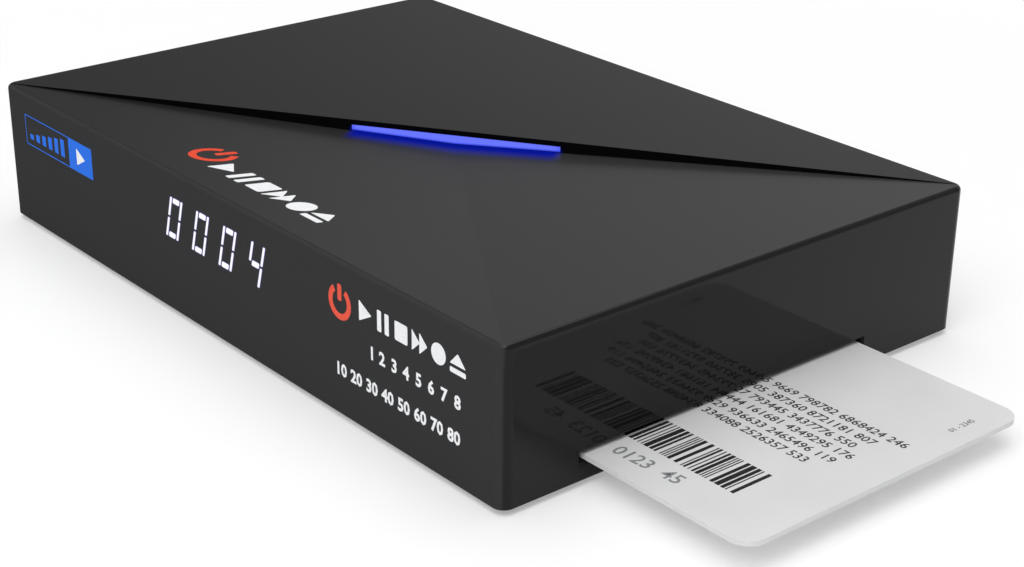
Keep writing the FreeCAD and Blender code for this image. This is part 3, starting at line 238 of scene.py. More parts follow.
@dataclass(frozen=True)
class Moulding:
    """Moulded plastic or rubber with a fine spark texture."""

    name: str
    colour: Colour
    roughness: float = 0.45
    grain_size: float = 0.00018
    grain_depth: float = 0.00001
    shine: float = 0.35

    def make(self) -> bpy.types.Material:
        """Mix the material."""
        paint = Paint(self.name)
        spark = paint.noise(self.grain_size, 2.0)
        wide = paint.noise(0.02, 2.0)
        paint.grain(spark, self.grain_depth)
        lighter = tuple(min(1.0, c * 1.25 + 0.004) for c in self.colour)
        return paint.coat(
            Base_Color=paint.blend(spark * 0.6 + wide * 0.4, self.colour, lighter),
            Roughness=(wide - 0.5) * 0.12 + (spark - 0.5) * 0.1 + self.roughness,
            Specular_IOR_Level=self.shine,
        )


@dataclass(frozen=True)
class Metal:
    """Bare or plated metal, drawn or rolled along one axis."""

    name: str
    colour: Colour
    roughness: float = 0.25
    drawn: Colour = (1.0, 1.0, 1.0)
    worn: Colour = (0.45, 0.42, 0.38)

    def make(self) -> bpy.types.Material:
        """Mix the material."""
        paint = Paint(self.name)
        lines = paint.noise(0.0003, 3.0, self.drawn)
        stain = paint.noise(0.004, 4.0).rise(0.55, 0.8)
        paint.grain(lines, 0.000006)
        return paint.coat(
            Base_Color=paint.blend(stain * 0.35, self.colour, self.worn),
            Metallic=1.0,
            Roughness=stain * 0.15 + (lines - 0.5) * 0.16 + self.roughness,
        )


@dataclass(frozen=True)
class Ink:
    """Screen-printed ink, a little uneven."""

    name: str
    colour: Colour
    roughness: float = 0.4
    thin: float = 0.82
    shine: float = 0.3

    def make(self) -> bpy.types.Material:
        """Mix the material."""
        paint = Paint(self.name)
        cover = paint.noise(0.0004, 3.0)
        thinner = tuple(c * self.thin for c in self.colour)
        return paint.coat(
            Base_Color=paint.blend(cover.rise(0.3, 0.6), thinner, self.colour),
            Roughness=(cover - 0.5) * 0.2 + self.roughness,
            Specular_IOR_Level=self.shine,
        )


@dataclass(frozen=True)
class CaseFinish:
    """The cover: satin roof, matt front, polished side walls and the blue spill of light below the bar, with a
    painted sheen on the lower deck that grows towards the right and painted shade on the riser along the fold.

    Lengths are in millimetres; a pair is where a soft step starts and ends.
    """

    wall: Colour = (0.0090, 0.0090, 0.0093)
    roof: Colour = (0.0130, 0.0130, 0.0135)
    # Painted sheen: the lower deck is painted lighter than the roof, standing in for the light that it
    # reflects.
    lower_roof: Colour = (0.0310, 0.0310, 0.0317)
    # Painted shade: near-black for the riser of the step along the fold.
    riser: Colour = (0.0006, 0.0006, 0.0008)
    front: Colour = (0.0445, 0.0448, 0.0464)
    shine: float = 0.17
    front_rough: float = 0.36
    roof_rough: float = 0.26
    wall_rough: float = 0.03
    half_width: float = 66.35
    half_depth: float = 44.8
    roof_low: float = 21.2
    roof_rim: tuple[float, float] = (0.25, 0.8)
    front_rim: tuple[float, float] = (0.7, 0.3)
    # Where the painted sheen of the lower deck grows along the fold, from left to right.
    lower_fade: tuple[float, float] = (-70.0, 20.0)
    speck_depth: float = 0.0000012
    bar_half: float = 17.4
    lip_foot: float = 23.2
    spill_reach: float = 5.2
    spill_strength: float = 0.95
    spill: Colour = (0.0005, 0.0065, 0.31)

    def make(self) -> bpy.types.Material:
        """Mix the material."""
        paint = Paint("case_gloss")
        x, y, z = paint.xyz()
        from_rim = (self.half_width - abs(x)).least(self.half_depth - abs(y))
        on_roof = from_rim.rise(*self.roof_rim) * z.rise(self.roof_low - 0.2, self.roof_low)
        on_front = (y + self.half_depth).rise(*self.front_rim)
        speck = paint.noise(0.00022, 3.0)
        cloud = paint.noise(0.03, 3.0)
        turn = math.atan2(self.half_depth, self.half_width)
        along = x * math.cos(turn) + y * math.sin(turn)
        below = x * math.sin(turn) - y * math.cos(turn)
        # Painted sheen: the lower deck is painted lighter, more so towards the right; the cloud adds some
        # random tone.
        lower = below.rise(0.0, 0.1) * along.rise(*self.lower_fade) * (cloud * 0.3 + 0.85)
        deck = paint.blend(lower, self.roof, self.lower_roof)
        colour = paint.blend(on_roof, self.wall, deck)
        # Painted shade: the riser along the fold is painted near-black.
        fold = abs(below).rise(0.06, 0.02) * on_roof
        colour = paint.blend(fold, colour, self.riser)
        bump = paint.node("ShaderNodeBump", {}, 1.0, self.speck_depth, Height=speck).outputs[0]
        matt = paint.node(
            "ShaderNodeBsdfPrincipled",
            {},
            Base_Color=paint.blend(speck, tuple(c * 0.9 for c in self.front), self.front),
            Roughness=(cloud - 0.5) * 0.06 + self.front_rough,
            Specular_IOR_Level=0.0,
            Normal=bump,
        )
        paint.lay_over(on_front, matt)
        lit = paint.node(
            "ShaderNodeBsdfPrincipled",
            {},
            Base_Color=(0.0, 0.0, 0.0),
            Specular_IOR_Level=0.0,
            Emission_Color=self.spill,
            Emission_Strength=1.0,
        )
        ends = abs(along).rise(self.bar_half + 0.8, self.bar_half - 1.0)
        band = below.rise(self.spill_reach, self.spill_reach * 0.15) * below.rise(-0.3, 0.0)
        glow = band * ends * on_roof * z.rise(self.lip_foot, self.lip_foot - 0.4)
        paint.lay_over(glow * self.spill_strength, lit)
        return paint.coat(
            Base_Color=colour,
            Roughness=on_roof * (self.roof_rough - self.wall_rough) + self.wall_rough + (cloud - 0.5) * 0.03,
            Specular_IOR_Level=self.shine,
            Normal=bump,
        )


@dataclass(frozen=True)
class GuideFinish:
    """The lit bar: even blue light, deeper towards its foot and ends."""

    bright: Colour = (0.135, 0.170, 0.97)
    deep: Colour = (0.01, 0.03, 0.62)
    inside: Colour = (0.001, 0.003, 0.03)
    half_length: float = 17.5
    foot: float = 21.95
    fold: float = 34.03
    facet_rise: float = 2.4 / 80.06

    def make(self) -> bpy.types.Material:
        """Mix the material."""
        paint = Paint("guide_blue")
        x, y, z = paint.xyz()
        turn = math.radians(self.fold)
        along = abs(x * math.cos(turn) + y * math.sin(turn))
        shown = (x * math.sin(turn) - y * math.cos(turn)).rise(-0.7, -0.2)
        facet = along * self.facet_rise + self.foot
        height = (z - facet).rise(0.0, 0.45)
        ends = along.rise(self.half_length, self.half_length - 1.2)
        haze = paint.noise(0.006, 2.0)
        level = height * (ends * 0.35 + 0.65) * (haze * 0.16 + 0.92)
        return paint.coat(
            Base_Color=(0.02, 0.03, 0.12),
            Roughness=haze * 0.08 + 0.32,
            Specular_IOR_Level=0.2,
            Emission_Color=paint.blend(shown, self.inside, paint.blend(level, self.deep, self.bright)),
            Emission_Strength=1.0,
        )


@dataclass(frozen=True)
class LitStroke:
    """A lit stroke of a digit: white in the middle, violet at its rim."""

    core: Colour = (0.93, 0.93, 1.0)
    rim: Colour = (0.20, 0.16, 0.60)

    def make(self) -> bpy.types.Material:
        """Mix the material."""
        paint = Paint("segment_white")
        core = paint.attribute("core").rise(0.0, 0.85)
        uneven = paint.noise(0.0012, 2.0) * 0.12 + 0.94
        return paint.coat(
            Base_Color=(0.05, 0.05, 0.07),
            Roughness=uneven * 0.4,
            Specular_IOR_Level=0.2,
            Emission_Color=paint.blend(core * uneven, self.rim, self.core),
            Emission_Strength=1.0,
        )


@dataclass(frozen=True)
class CardStock:
    """White laminated card: faint clouds in the core and a smooth film on top."""

    colour: Colour = (0.735, 0.735, 0.74)

    def make(self) -> bpy.types.Material:
        """Mix the material."""
        paint = Paint("card_white")
        cloud = paint.noise(0.012, 3.0)
        fine = paint.noise(0.00035, 2.0)
        paint.grain(fine, 0.0000015)
        greyer = tuple(c * 0.955 for c in self.colour)
        return paint.coat(
            Base_Color=paint.blend(cloud.rise(0.3, 0.7), greyer, self.colour),
            Roughness=(cloud - 0.5) * 0.08 + 0.34,
            Specular_IOR_Level=0.35,
            Coat_Weight=0.15,
            Coat_Roughness=0.12,
        )


@dataclass(frozen=True)
class BoardLacquer:
    """Green solder mask over copper tracks and scattered through-holes."""

    mask: Colour = (0.008, 0.075, 0.028)
    track: Colour = (0.02, 0.15, 0.055)
    tin: Colour = (0.62, 0.62, 0.58)

    def make(self) -> bpy.types.Material:
        """Mix the material."""
        paint = Paint("board_green")
        x, y, _ = paint.xyz()
        bend = paint.noise(0.012, 0.0)
        lines = abs((x / 1.27 + y / 2.54 * (bend.rise(0.45, 0.55) - 0.5)).part() - 0.5)
        track = lines.rise(0.32, 0.36) * paint.noise(0.009, 0.0).rise(0.46, 0.5)
        hole = paint.cells(0.0042).rise(0.10, 0.07)
        colour = paint.blend(track, self.mask, self.track)
        paint.grain(track * 0.6 + hole, 0.00003)
        return paint.coat(
            Base_Color=paint.blend(hole, colour, self.tin),
            Metallic=hole,
            Roughness=hole * 0.1 + 0.28,
            Coat_Weight=0.3,
            Coat_Roughness=0.2,
        )


@dataclass(frozen=True)
class FloorFinish:
    """The pale table: white to the eye, darker where the object shades it, and plain white farther off."""

    colour: Colour = (0.99, 0.99, 0.99)
    own_light: float = 0.33
    near: float = 85.0
    far: float = 230.0

    def make(self) -> bpy.types.Material:
        """Mix the material."""
        paint = Paint("table_white")
        ray = paint.node("ShaderNodeLightPath", {})
        seen = Signal(paint, ray.outputs["Is Camera Ray"])
        for name in ("Is Glossy Ray", "Is Transmission Ray"):
            seen = seen.most(Signal(paint, ray.outputs[name]))
        glow = paint.node("ShaderNodeEmission", {}, (1.0, 1.0, 1.0), 1.0)
        x, y, _ = paint.xyz()
        away = ((x * x + y * y) ** 0.5).rise(self.near, self.far)
        paint.lay_over(seen * (away * (1.0 - self.own_light) + self.own_light), glow)
        return paint.coat(Base_Color=self.colour, Roughness=0.9, Specular_IOR_Level=0.0)


# ---- modelling ----


def deselect() -> None:
    """Leave nothing selected."""
    bpy.ops.object.select_all(action="DESELECT")


def active(piece: Piece) -> Piece:
    """Make one piece the selected and active one."""
    deselect()
    piece.select_set(True)
    bpy.context.view_layer.objects.active = piece
    return piece


@contextmanager
def editing(piece: Piece, kind: str = "FACE") -> Iterator[bmesh.types.BMesh]:
    """Edit mode on one piece, with nothing selected at its start.

    Args:
        piece: the mesh object.
        kind: what is picked, VERT, EDGE or FACE.

    Yields:
        The mesh as edit mode holds it.
    """
    active(piece)
    bpy.ops.object.mode_set(mode="EDIT")
    bpy.ops.mesh.select_mode(type=kind)
    bpy.ops.mesh.select_all(action="DESELECT")
    yield bmesh.from_edit_mesh(piece.data)
    bpy.ops.object.mode_set(mode="OBJECT")


def take_all() -> None:
    """Select the whole mesh in edit mode."""
    bpy.ops.mesh.select_all(action="SELECT")


def close_up(merge: float = 0.0) -> None:
    """In edit mode, merge points that are no farther apart than that and face every face outward."""
    take_all()
    if merge:
        bpy.ops.mesh.remove_doubles(threshold=merge)
        take_all()
    bpy.ops.mesh.normals_make_consistent(inside=False)


def choose(shape: bmesh.types.BMesh, test: Callable[[bmesh.types.BMFace], bool]) -> None:
    """Select the faces that pass the test."""
    for face in shape.faces:
        face.select_set(test(face))


def settle(piece: Piece, matrix: Matrix | None = None) -> Piece:
    """Put a piece's place into its mesh, after moving it by a matrix."""
    active(piece)
    bpy.ops.object.transform_apply(location=True, rotation=True, scale=True)
    if matrix is not None:
        piece.data.transform(matrix)
        if matrix.to_3x3().determinant() < 0:
            piece.data.flip_normals()
    return piece


def soften(piece: Piece, width: float, segments: int = 2, angle: float = 40.0) -> Piece:
    """Round a piece's sharp edges."""
    active(piece)
    bevel = piece.modifiers.new("soften", "BEVEL")
    bevel.width = width
    bevel.segments = segments
    bevel.limit_method = "ANGLE"
    bevel.angle_limit = math.radians(angle)
    bpy.ops.object.modifier_apply(modifier=bevel.name)
    bpy.ops.object.shade_smooth_by_angle(angle=SMOOTH)
    return piece


def block(name: str, size: Sequence[float], centre: Sequence[float], rounding: float) -> Piece:
    """A cuboid with rounded edges, in metres."""
    deselect()
    bpy.ops.mesh.primitive_cube_add(size=1.0, location=centre, scale=size)
    piece = bpy.context.object
    piece.name = name
    return soften(settle(piece), rounding)


def flat(name: str, size: tuple[float, float], depth: float, sides: int = 4, rounding: float = 0.0) -> Piece:
    """A thin flat shape about the origin of the XY plane.

    Args:
        name: the piece's name.
        size: its width and height, in metres.
        depth: how far it stands up along Z.
        sides: 3 for a triangle that points to +X, 4 for an oblong, more for a disc.
        rounding: how far its corners are cut round.

    Returns:
        The new piece.
    """
    deselect()
    turn = math.pi / 4 if sides == 4 else 0.0
    reach = math.sqrt(0.5) if sides == 4 else 0.5
    facing = (0, 0, turn - math.pi / 2)
    bpy.ops.mesh.primitive_circle_add(vertices=sides, radius=reach, fill_type="NGON", rotation=facing)
    piece = bpy.context.object
    piece.name = name
    settle(piece)
    lows = [min(v.co[i] for v in piece.data.vertices) for i in range(2)]
    spans = [max(v.co[i] for v in piece.data.vertices) - lows[i] for i in range(2)]
    grow = Matrix.Diagonal((size[0] / spans[0], size[1] / spans[1], 1.0, 1.0))
    middle = Matrix.Translation((-lows[0] - spans[0] / 2, -lows[1] - spans[1] / 2, 0.0))
    piece.data.transform(grow @ middle)
    with editing(piece, "VERT"):
        take_all()
        if rounding:
            bpy.ops.mesh.bevel(offset=rounding, segments=3, affect="VERTICES")
            take_all()
        bpy.ops.mesh.extrude_region_move(TRANSFORM_OT_translate={"value": (0, 0, depth)})
        close_up()
    return piece


def arc(name: str, radius: float, width: float, depth: float, sweep: float, start: float = 0.0) -> Piece:
    """A flat band round the origin of the XY plane.

    Args:
        name: the piece's name.
        radius: the radius of the band's middle.
        width: the band's width.
        depth: how far it stands up along Z.
        sweep: the angle that it covers, in degrees, below a full turn.
        start: where it starts, in degrees from +X.

    Returns:
        The new piece.
    """
    deselect()
    bpy.ops.mesh.primitive_plane_add(size=1.0, location=(radius, 0, depth / 2), rotation=(math.pi / 2, 0, 0))
    piece = bpy.context.object
    piece.name = name
    piece.scale = (width, depth, 1.0)
    settle(piece, Matrix.Rotation(math.radians(start), 4, "Z"))
    steps = max(12, int(abs(sweep) / 9))
    with editing(piece):
        take_all()
        bpy.ops.mesh.spin(steps=steps, angle=-math.radians(sweep), center=(0, 0, 0), axis=(0, 0, 1))
        close_up(MERGE)
    return piece


def lathe(name: str, profile: Sequence[tuple[float, float]], steps: int = 48) -> Piece:
    """A round piece about the Z axis.

    Args:
        name: the piece's name.
        profile: radius and height pairs, in metres, from the axis out and back to it.
        steps: how many facets go round.

    Returns:
        The new piece.
    """
    deselect()
    bpy.ops.mesh.primitive_plane_add(size=1.0)
    piece = bpy.context.object
    piece.name = name
    with editing(piece, "VERT"):
        take_all()
        bpy.ops.mesh.merge(type="CENTER")
        shape = bmesh.from_edit_mesh(piece.data)
        shape.verts.ensure_lookup_table()
        shape.verts[0].co = (profile[0][0], 0, profile[0][1])
        shape.verts[0].select_set(True)
        for (r0, z0), (r1, z1) in zip(profile, profile[1:]):
            bpy.ops.mesh.extrude_region_move(TRANSFORM_OT_translate={"value": (r1 - r0, 0, z1 - z0)})
        take_all()
        bpy.ops.mesh.spin(steps=steps, angle=math.tau, center=(0, 0, 0), axis=(0, 0, 1))
        close_up(MERGE)
    active(piece)
    bpy.ops.object.shade_smooth_by_angle(angle=SMOOTH)
    return piece


def copy_of(piece: Piece, matrix: Matrix) -> Piece:
    """Another of the same piece, with its own mesh, moved by a matrix."""
    twin = piece.copy()
    twin.data = piece.data.copy()
    twin.data.transform(matrix)
    bpy.context.scene.collection.objects.link(twin)
    return twin


def moved(piece: Piece, x: float = 0.0, y: float = 0.0, z: float = 0.0) -> Piece:
    """Shift a piece's mesh."""
    piece.data.transform(Matrix.Translation((x, y, z)))
    return piece


def joined(name: str, pieces: Sequence[Piece]) -> Piece:
    """Make several pieces one."""
    deselect()
    for piece in pieces:
        piece.select_set(True)
    bpy.context.view_layer.objects.active = pieces[0]
    if len(pieces) > 1:
        bpy.ops.object.join()
    pieces[0].name = name
    return pieces[0]


def digits(name: str, text: str, height: float, depth: float, weight: float = 0.0) -> Piece:
    """Plain figures from the origin of the XY plane along +X, with a weight added round them."""
    deselect()
    bpy.ops.object.text_add()
    writing = bpy.context.object
    writing.data.body = text
    writing.data.size = height / FIGURE_SHARE
    writing.data.extrude = depth / 2
    writing.data.offset = weight
    writing.data.resolution_u = 2
    bpy.ops.object.convert(target="MESH")
    piece = bpy.context.object
    piece.name = name
    settle(piece)
    return moved(piece, z=depth / 2)


@dataclass(frozen=True)
class Patch:
    """A flat place on the object that is printed on."""

    origin: Triple
    along: Triple
    up: Triple

    def matrix(self) -> Matrix:
        """From the XY plane to the patch."""
        x = Vector(self.along).normalized()
        y = Vector(self.up).normalized()
        turn = Matrix((x, y, x.cross(y))).transposed().to_4x4()
        return Matrix.Translation(Vector(self.origin)) @ turn


class Sign(Enum):
    """The plain control signs that are printed on the case."""

    PLAY = "play"
    PAUSE = "pause"
    STOP = "stop"
    RECORD = "record"
    FORWARD = "forward"
    EJECT = "eject"


def sign(kind: Sign, size: float, depth: float) -> list[Piece]:
    """One control sign about the origin of the XY plane, as loose shapes."""
    soft = size * 0.06
    bar = (size * 0.30, size)
    if kind is Sign.PLAY:
        return [flat("play", (size * 0.92, size), depth, 3, soft)]
    if kind is Sign.PAUSE:
        return [moved(flat("pause", bar, depth, 4, soft), x=side * size * 0.27) for side in (-1, 1)]
    if kind is Sign.STOP:
        return [flat("stop", (size * 0.9, size * 0.9), depth, 4, soft * 1.5)]
    if kind is Sign.RECORD:
        return [flat("record", (size * 0.98, size * 0.98), depth, 40)]
    if kind is Sign.FORWARD:
        wedge = (size * 0.55, size)
        return [moved(flat("forward", wedge, depth, 3, soft), x=side * size * 0.26) for side in (-1, 1)]
    arrow = flat("eject", (size * 0.56, size * 1.05), depth, 3, soft)
    arrow.data.transform(Matrix.Translation((0, size * 0.2, 0)) @ Matrix.Rotation(math.pi / 2, 4, "Z"))
    return [arrow, moved(flat("eject_bar", (size * 1.05, size * 0.24), depth, 4, soft), y=-size * 0.36)]


class Body(Enum):
    """The bodies that pieces ride on."""

    CHASSIS = "chassis"
    CARD = "card"
    DOOR = "door"


# ---- the receiver ----


@dataclass
class Finishes:
    """Every finish of the receiver, by the slot that it fills."""

    made: dict[str, bpy.types.Material] = field(default_factory=dict)

    def mix(self) -> None:
        """Mix all the materials, in place of the plain ones that come with the model."""
        for plain in list(bpy.data.materials):
            bpy.data.materials.remove(plain)
        finishes = [
            Moulding("tray_black", (0.012, 0.012, 0.013), 0.5),
            Moulding("panel_black", (0.011, 0.011, 0.012), 0.42),
            Moulding("foot_rubber", (0.02, 0.02, 0.021), 0.85, 0.0003, 0.00003, 0.2),
            Moulding("reader_black", (0.014, 0.014, 0.015), 0.45),
            Moulding("lamp_body", (0.82, 0.80, 0.70), 0.3),
            Moulding("display_black", (0.01, 0.01, 0.012), 0.15),
            Moulding("eye_dark", (0.018, 0.006, 0.008), 0.12),
            Moulding("insulator_white", (0.72, 0.71, 0.66), 0.38),
            Moulding("socket_black", (0.011, 0.011, 0.012), 0.36),
            Moulding("chip_black", (0.022, 0.022, 0.024), 0.55, 0.00012),
            Moulding("thermal_grey", (0.36, 0.40, 0.45), 0.8),
            Moulding("coil_grey", (0.055, 0.055, 0.058), 0.6, 0.00025, 0.00003),
            Moulding("led_green", (0.10, 0.42, 0.12), 0.2),
            Moulding("led_amber", (0.62, 0.30, 0.03), 0.2),
            Metal("screw_black", (0.10, 0.10, 0.105), 0.38),
            Metal("screw_steel", (0.62, 0.63, 0.64), 0.3),
            Metal("contact_gold", (0.83, 0.60, 0.22), 0.22, worn=(0.62, 0.42, 0.15)),
            Metal("screen_can", (0.66, 0.67, 0.68), 0.32, (1.0, 12.0, 1.0)),
            Metal("socket_nickel", (0.72, 0.70, 0.66), 0.2, (1.0, 8.0, 1.0)),
            Metal("sink_aluminium", (0.70, 0.71, 0.73), 0.36, (1.0, 0.05, 1.0)),
            Metal("cap_aluminium", (0.74, 0.75, 0.77), 0.28, (1.0, 1.0, 0.08)),
            Ink("ink_white", (0.93, 0.94, 0.96), thin=0.93),
            Ink("ink_orange", (0.86, 0.065, 0.02)),
            Ink("ink_blue", (0.006, 0.165, 0.86), thin=0.9, shine=0.06),
            Ink("ink_dark", (0.022, 0.022, 0.024), 0.3),
            Ink("ink_grey", (0.24, 0.25, 0.26), 0.4),
            CaseFinish(),
            GuideFinish(),
            LitStroke(),
            CardStock(),
            BoardLacquer(),
        ]
        for finish in finishes:
            material = finish.make()
            self.made[material.name] = material

    def dress(self) -> None:
        """Give each CAD node the finish of its slot."""
        for row in frame["record"]["subparts"]:
            self.cover(frame["nodes"][row["node"]], row["material_slot"])
            LOG.info("%s: %s", row["node"], row["material_slot"])

    def cover(self, piece: Piece, finish: str) -> None:
        """Leave that finish alone on a piece."""
        piece.data.materials.clear()
        piece.data.materials.append(self.made[finish])


@dataclass
class Fitting:
    """Something that is added to the receiver in its finishes."""

    finishes: Finishes

    def put(
        self, piece: Piece, finish: str, *nodes: str, slot: str = "", body: Body = Body.CHASSIS
    ) -> Piece:
        """Finish a piece and tie it to the model.

        Args:
            piece: the piece.
            finish: the name of its material.
            nodes: the nodes that it stands for, which are hidden.
            slot: its material slot in the record, where that isn't the finish; not used.
            body: the body that it rides on.

        Returns:
            The same piece.
        """
        self.finishes.cover(piece, finish)
        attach(piece, body.value)
        slot or finish
        if nodes:
            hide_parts(*nodes)
        LOG.info("%s: %d faces on %s", piece.name, len(piece.data.polygons), body.value)
        return piece

    def lay(
        self,
        name: str,
        shapes: Sequence[Piece],
        patch: Patch,
        finish: str,
        slot: str,
        lean: float = 0.0,
        body: Body = Body.CHASSIS,
    ) -> Piece:
        """Join shapes from the XY plane into one print.

        Args:
            name: the print's name.
            shapes: what it is made of.
            patch: where it lies.
            finish: the name of its material.
            slot: the material slot of what it is printed on.
            lean: how far it leans along its line, per unit of height.
            body: the body that it rides on.

        Returns:
            The print.
        """
        shear = Matrix.Identity(4)
        shear[0][1] = lean
        piece = joined(name, list(shapes))
        piece.data.transform(patch.matrix() @ shear)
        return self.put(piece, finish, slot=slot, body=body)


@dataclass
class Printing(Fitting):
    """The plain signs, the numbers and the badge on the roof and the front."""

    ink_depth: float = 0.000012
    front_y: float = -0.0448
    slope: float = 2.4 / 44.8
    roof_z: float = 0.0243
    lean: float = 0.25
    figure_height: float = 1.95 * MM
    figure_weight: float = 0.09 * MM
    badge_line: float = 0.16 * MM
    badge_bars: int = 6
    signs: tuple[Sign, ...] = (Sign.PLAY, Sign.PAUSE, Sign.STOP, Sign.FORWARD, Sign.RECORD, Sign.EJECT)

    def front(self, x: float, z: float) -> Patch:
        """A patch of the front wall with its origin at x, z."""
        return Patch((x, self.front_y, z), (1, 0, 0), (0, 0, 1))

    def roof(self, x: float, y: float) -> Patch:
        """A patch of the front facet of the roof with its origin at x, y."""
        z = self.roof_z - self.slope * (y - self.front_y)
        return Patch((x, y, z), (1, 0, 0), (0, 1, -self.slope))

    def ink(self, name: str, shapes: Sequence[Piece], patch: Patch, finish: str, lean: float = 0.0) -> None:
        """Print shapes on the case."""
        self.lay(name, shapes, patch, finish, "case_gloss", lean)

    def power_sign(self, radius: float, width: float) -> list[Piece]:
        """A ring that is open at its top, and a bar in the gap."""
        ring = arc("power_ring", radius, width, self.ink_depth, 290.0, 125.0)
        bar = flat("power_bar", (width, radius * 1.15), self.ink_depth, 4, width * 0.3)
        return [ring, moved(bar, y=radius * 0.68)]

    def control_row(self, size: float, pitch: float) -> list[Piece]:
        """The control signs side by side, the first about the origin."""
        shapes = []
        for step, kind in enumerate(self.signs):
            shapes += [moved(shape, x=step * pitch) for shape in sign(kind, size, self.ink_depth)]
        return shapes

    def make(self) -> None:
        """Print the roof and the front."""
        ring = self.power_sign(2.15 * MM, 0.95 * MM)
        self.ink("front_power_sign", ring, self.front(31.6 * MM, 18.15 * MM), "ink_orange")
        row = self.control_row(3.1 * MM, 3.98 * MM)
        self.ink("front_control_signs", row, self.front(37.5 * MM, 18.6 * MM), "ink_white")
        ring = self.power_sign(2.9 * MM, 1.15 * MM)
        self.ink("roof_power_sign", ring, self.roof(-15.2 * MM, -35.3 * MM), "ink_orange", self.lean)
        row = self.control_row(4.2 * MM, 5.0 * MM)
        self.ink("roof_control_signs", row, self.roof(-8.6 * MM, -37.0 * MM), "ink_white", self.lean)
        for name, step, left, right, low in (
            ("front_numbers", 1, 38.2 * MM, 58.0 * MM, 12.25 * MM),
            ("front_tens", 10, 30.2 * MM, 57.9 * MM, 7.05 * MM),
        ):
            self.number_row(name, [str(n * step) for n in range(1, 9)], left, right, low)
        self.badge()

    def number_row(self, name: str, figures: Sequence[str], left: float, right: float, low: float) -> None:
        """A row of plain numbers that fills the front from left to right."""
        height, weight = self.figure_height, self.figure_weight
        shapes = [digits("figure", text, height, self.ink_depth, weight) for text in figures]
        widths = [max(v.co.x for v in shape.data.vertices) for shape in shapes]
        gap = (right - left - sum(widths)) / (len(shapes) - 1)
        x = 0.0
        for shape, wide in zip(shapes, widths):
            moved(shape, x=x)
            x += wide + gap
        self.ink(name, shapes, self.front(left, low), "ink_white")

    def badge(self) -> None:
        """A framed strip with level bars, and a filled end with a play sign."""
        low, high, left, middle, right = (v * MM for v in (15.4, 20.5, -59.5, -44.6, -36.9))
        depth, line, centre = self.ink_depth, self.badge_line, (low + high) / 2
        shapes = []
        for level in (low, high):
            edge = flat("badge_line", (middle - left, line), depth)
            shapes.append(moved(edge, x=(left + middle) / 2, y=level))
        shapes.append(moved(flat("badge_side", (line, high - low), depth), x=left, y=centre))
        fill = flat("badge_fill", (right - middle, high - low + line), depth)
        shapes.append(moved(fill, x=(middle + right) / 2, y=centre))
        for step in range(self.badge_bars):
            tall = (0.9 + 0.42 * step) * MM
            bar = flat("badge_bar", (1.25 * MM, tall), depth, 4, 0.1 * MM)
            shapes.append(moved(bar, x=left + (2.0 + 2.15 * step) * MM, y=low + 1.15 * MM + tall / 2))
        self.ink("front_badge", shapes, self.front(0.0, 0.0), "ink_blue")
        play = flat("badge_play", (2.7 * MM, 2.9 * MM), depth * 2, 3, 0.15 * MM)
        self.ink("front_badge_play", [play], self.front(-40.6 * MM, centre), "ink_white")


@dataclass
class LitDigits(Fitting):
    """Four seven-stroke figures that shine through the front wall."""

    text: str = "0004"
    centre_x: float = -0.5 * MM
    centre_z: float = 16.65 * MM
    pitch: float = 7.47 * MM
    width: float = 3.6 * MM
    height: float = 6.9 * MM
    lean: float = 2.0 / 6.9
    side_stroke: float = 0.62 * MM
    bar_stroke: float = 0.98 * MM
    gap: float = 0.3 * MM
    rim: float = 0.11 * MM
    front_y: float = -0.0448
    depth: float = 0.02 * MM
    strokes: dict[str, str] = field(default_factory=lambda: {"0": "tlnrsb", "4": "lmrs"})

    def stroke(self, kind: str) -> Piece:
        """One stroke, named by its letter: t, m, b bars and l, n, r, s sides, upper before lower."""
        half_w, half_h = self.width / 2, self.height / 2
        if kind in "tmb":
            size = (self.width - 2 * (self.side_stroke + self.gap * 0.7), self.bar_stroke)
            level = {"t": 1, "m": 0, "b": -1}[kind] * (half_h - self.bar_stroke / 2)
            place = (0.0, level)
        else:
            size = (self.side_stroke, half_h - self.gap / 2)
            across = (half_w - self.side_stroke / 2) * (-1 if kind in "ln" else 1)
            place = (across, (size[1] + self.gap) / 2 * (1 if kind in "lr" else -1))
        piece = flat(f"stroke_{kind}", size, self.depth, 4, min(size) * 0.28)
        with editing(piece) as shape:
            choose(shape, lambda face: face.normal.z > 0.9)
            bpy.ops.mesh.inset(thickness=self.rim, depth=self.depth * 0.4)
        core = piece.data.attributes.new("core", "FLOAT", "POINT")
        top = max(v.co.z for v in piece.data.vertices)
        for vertex in piece.data.vertices:
            core.data[vertex.index].value = 1.0 if vertex.co.z > top - self.depth * 0.1 else 0.0
        return moved(piece, *place)

    def make(self) -> None:
        """Place the lit strokes on the front wall."""
        shapes = []
        for step, figure in enumerate(self.text):
            across = (step - (len(self.text) - 1) / 2) * self.pitch
            shapes += [moved(self.stroke(kind), x=across) for kind in self.strokes[figure]]
        patch = Patch((self.centre_x, self.front_y, self.centre_z), (1, 0, 0), (0, 0, 1))
        self.lay("lit_digits", shapes, patch, "segment_white", "segment_white", self.lean)


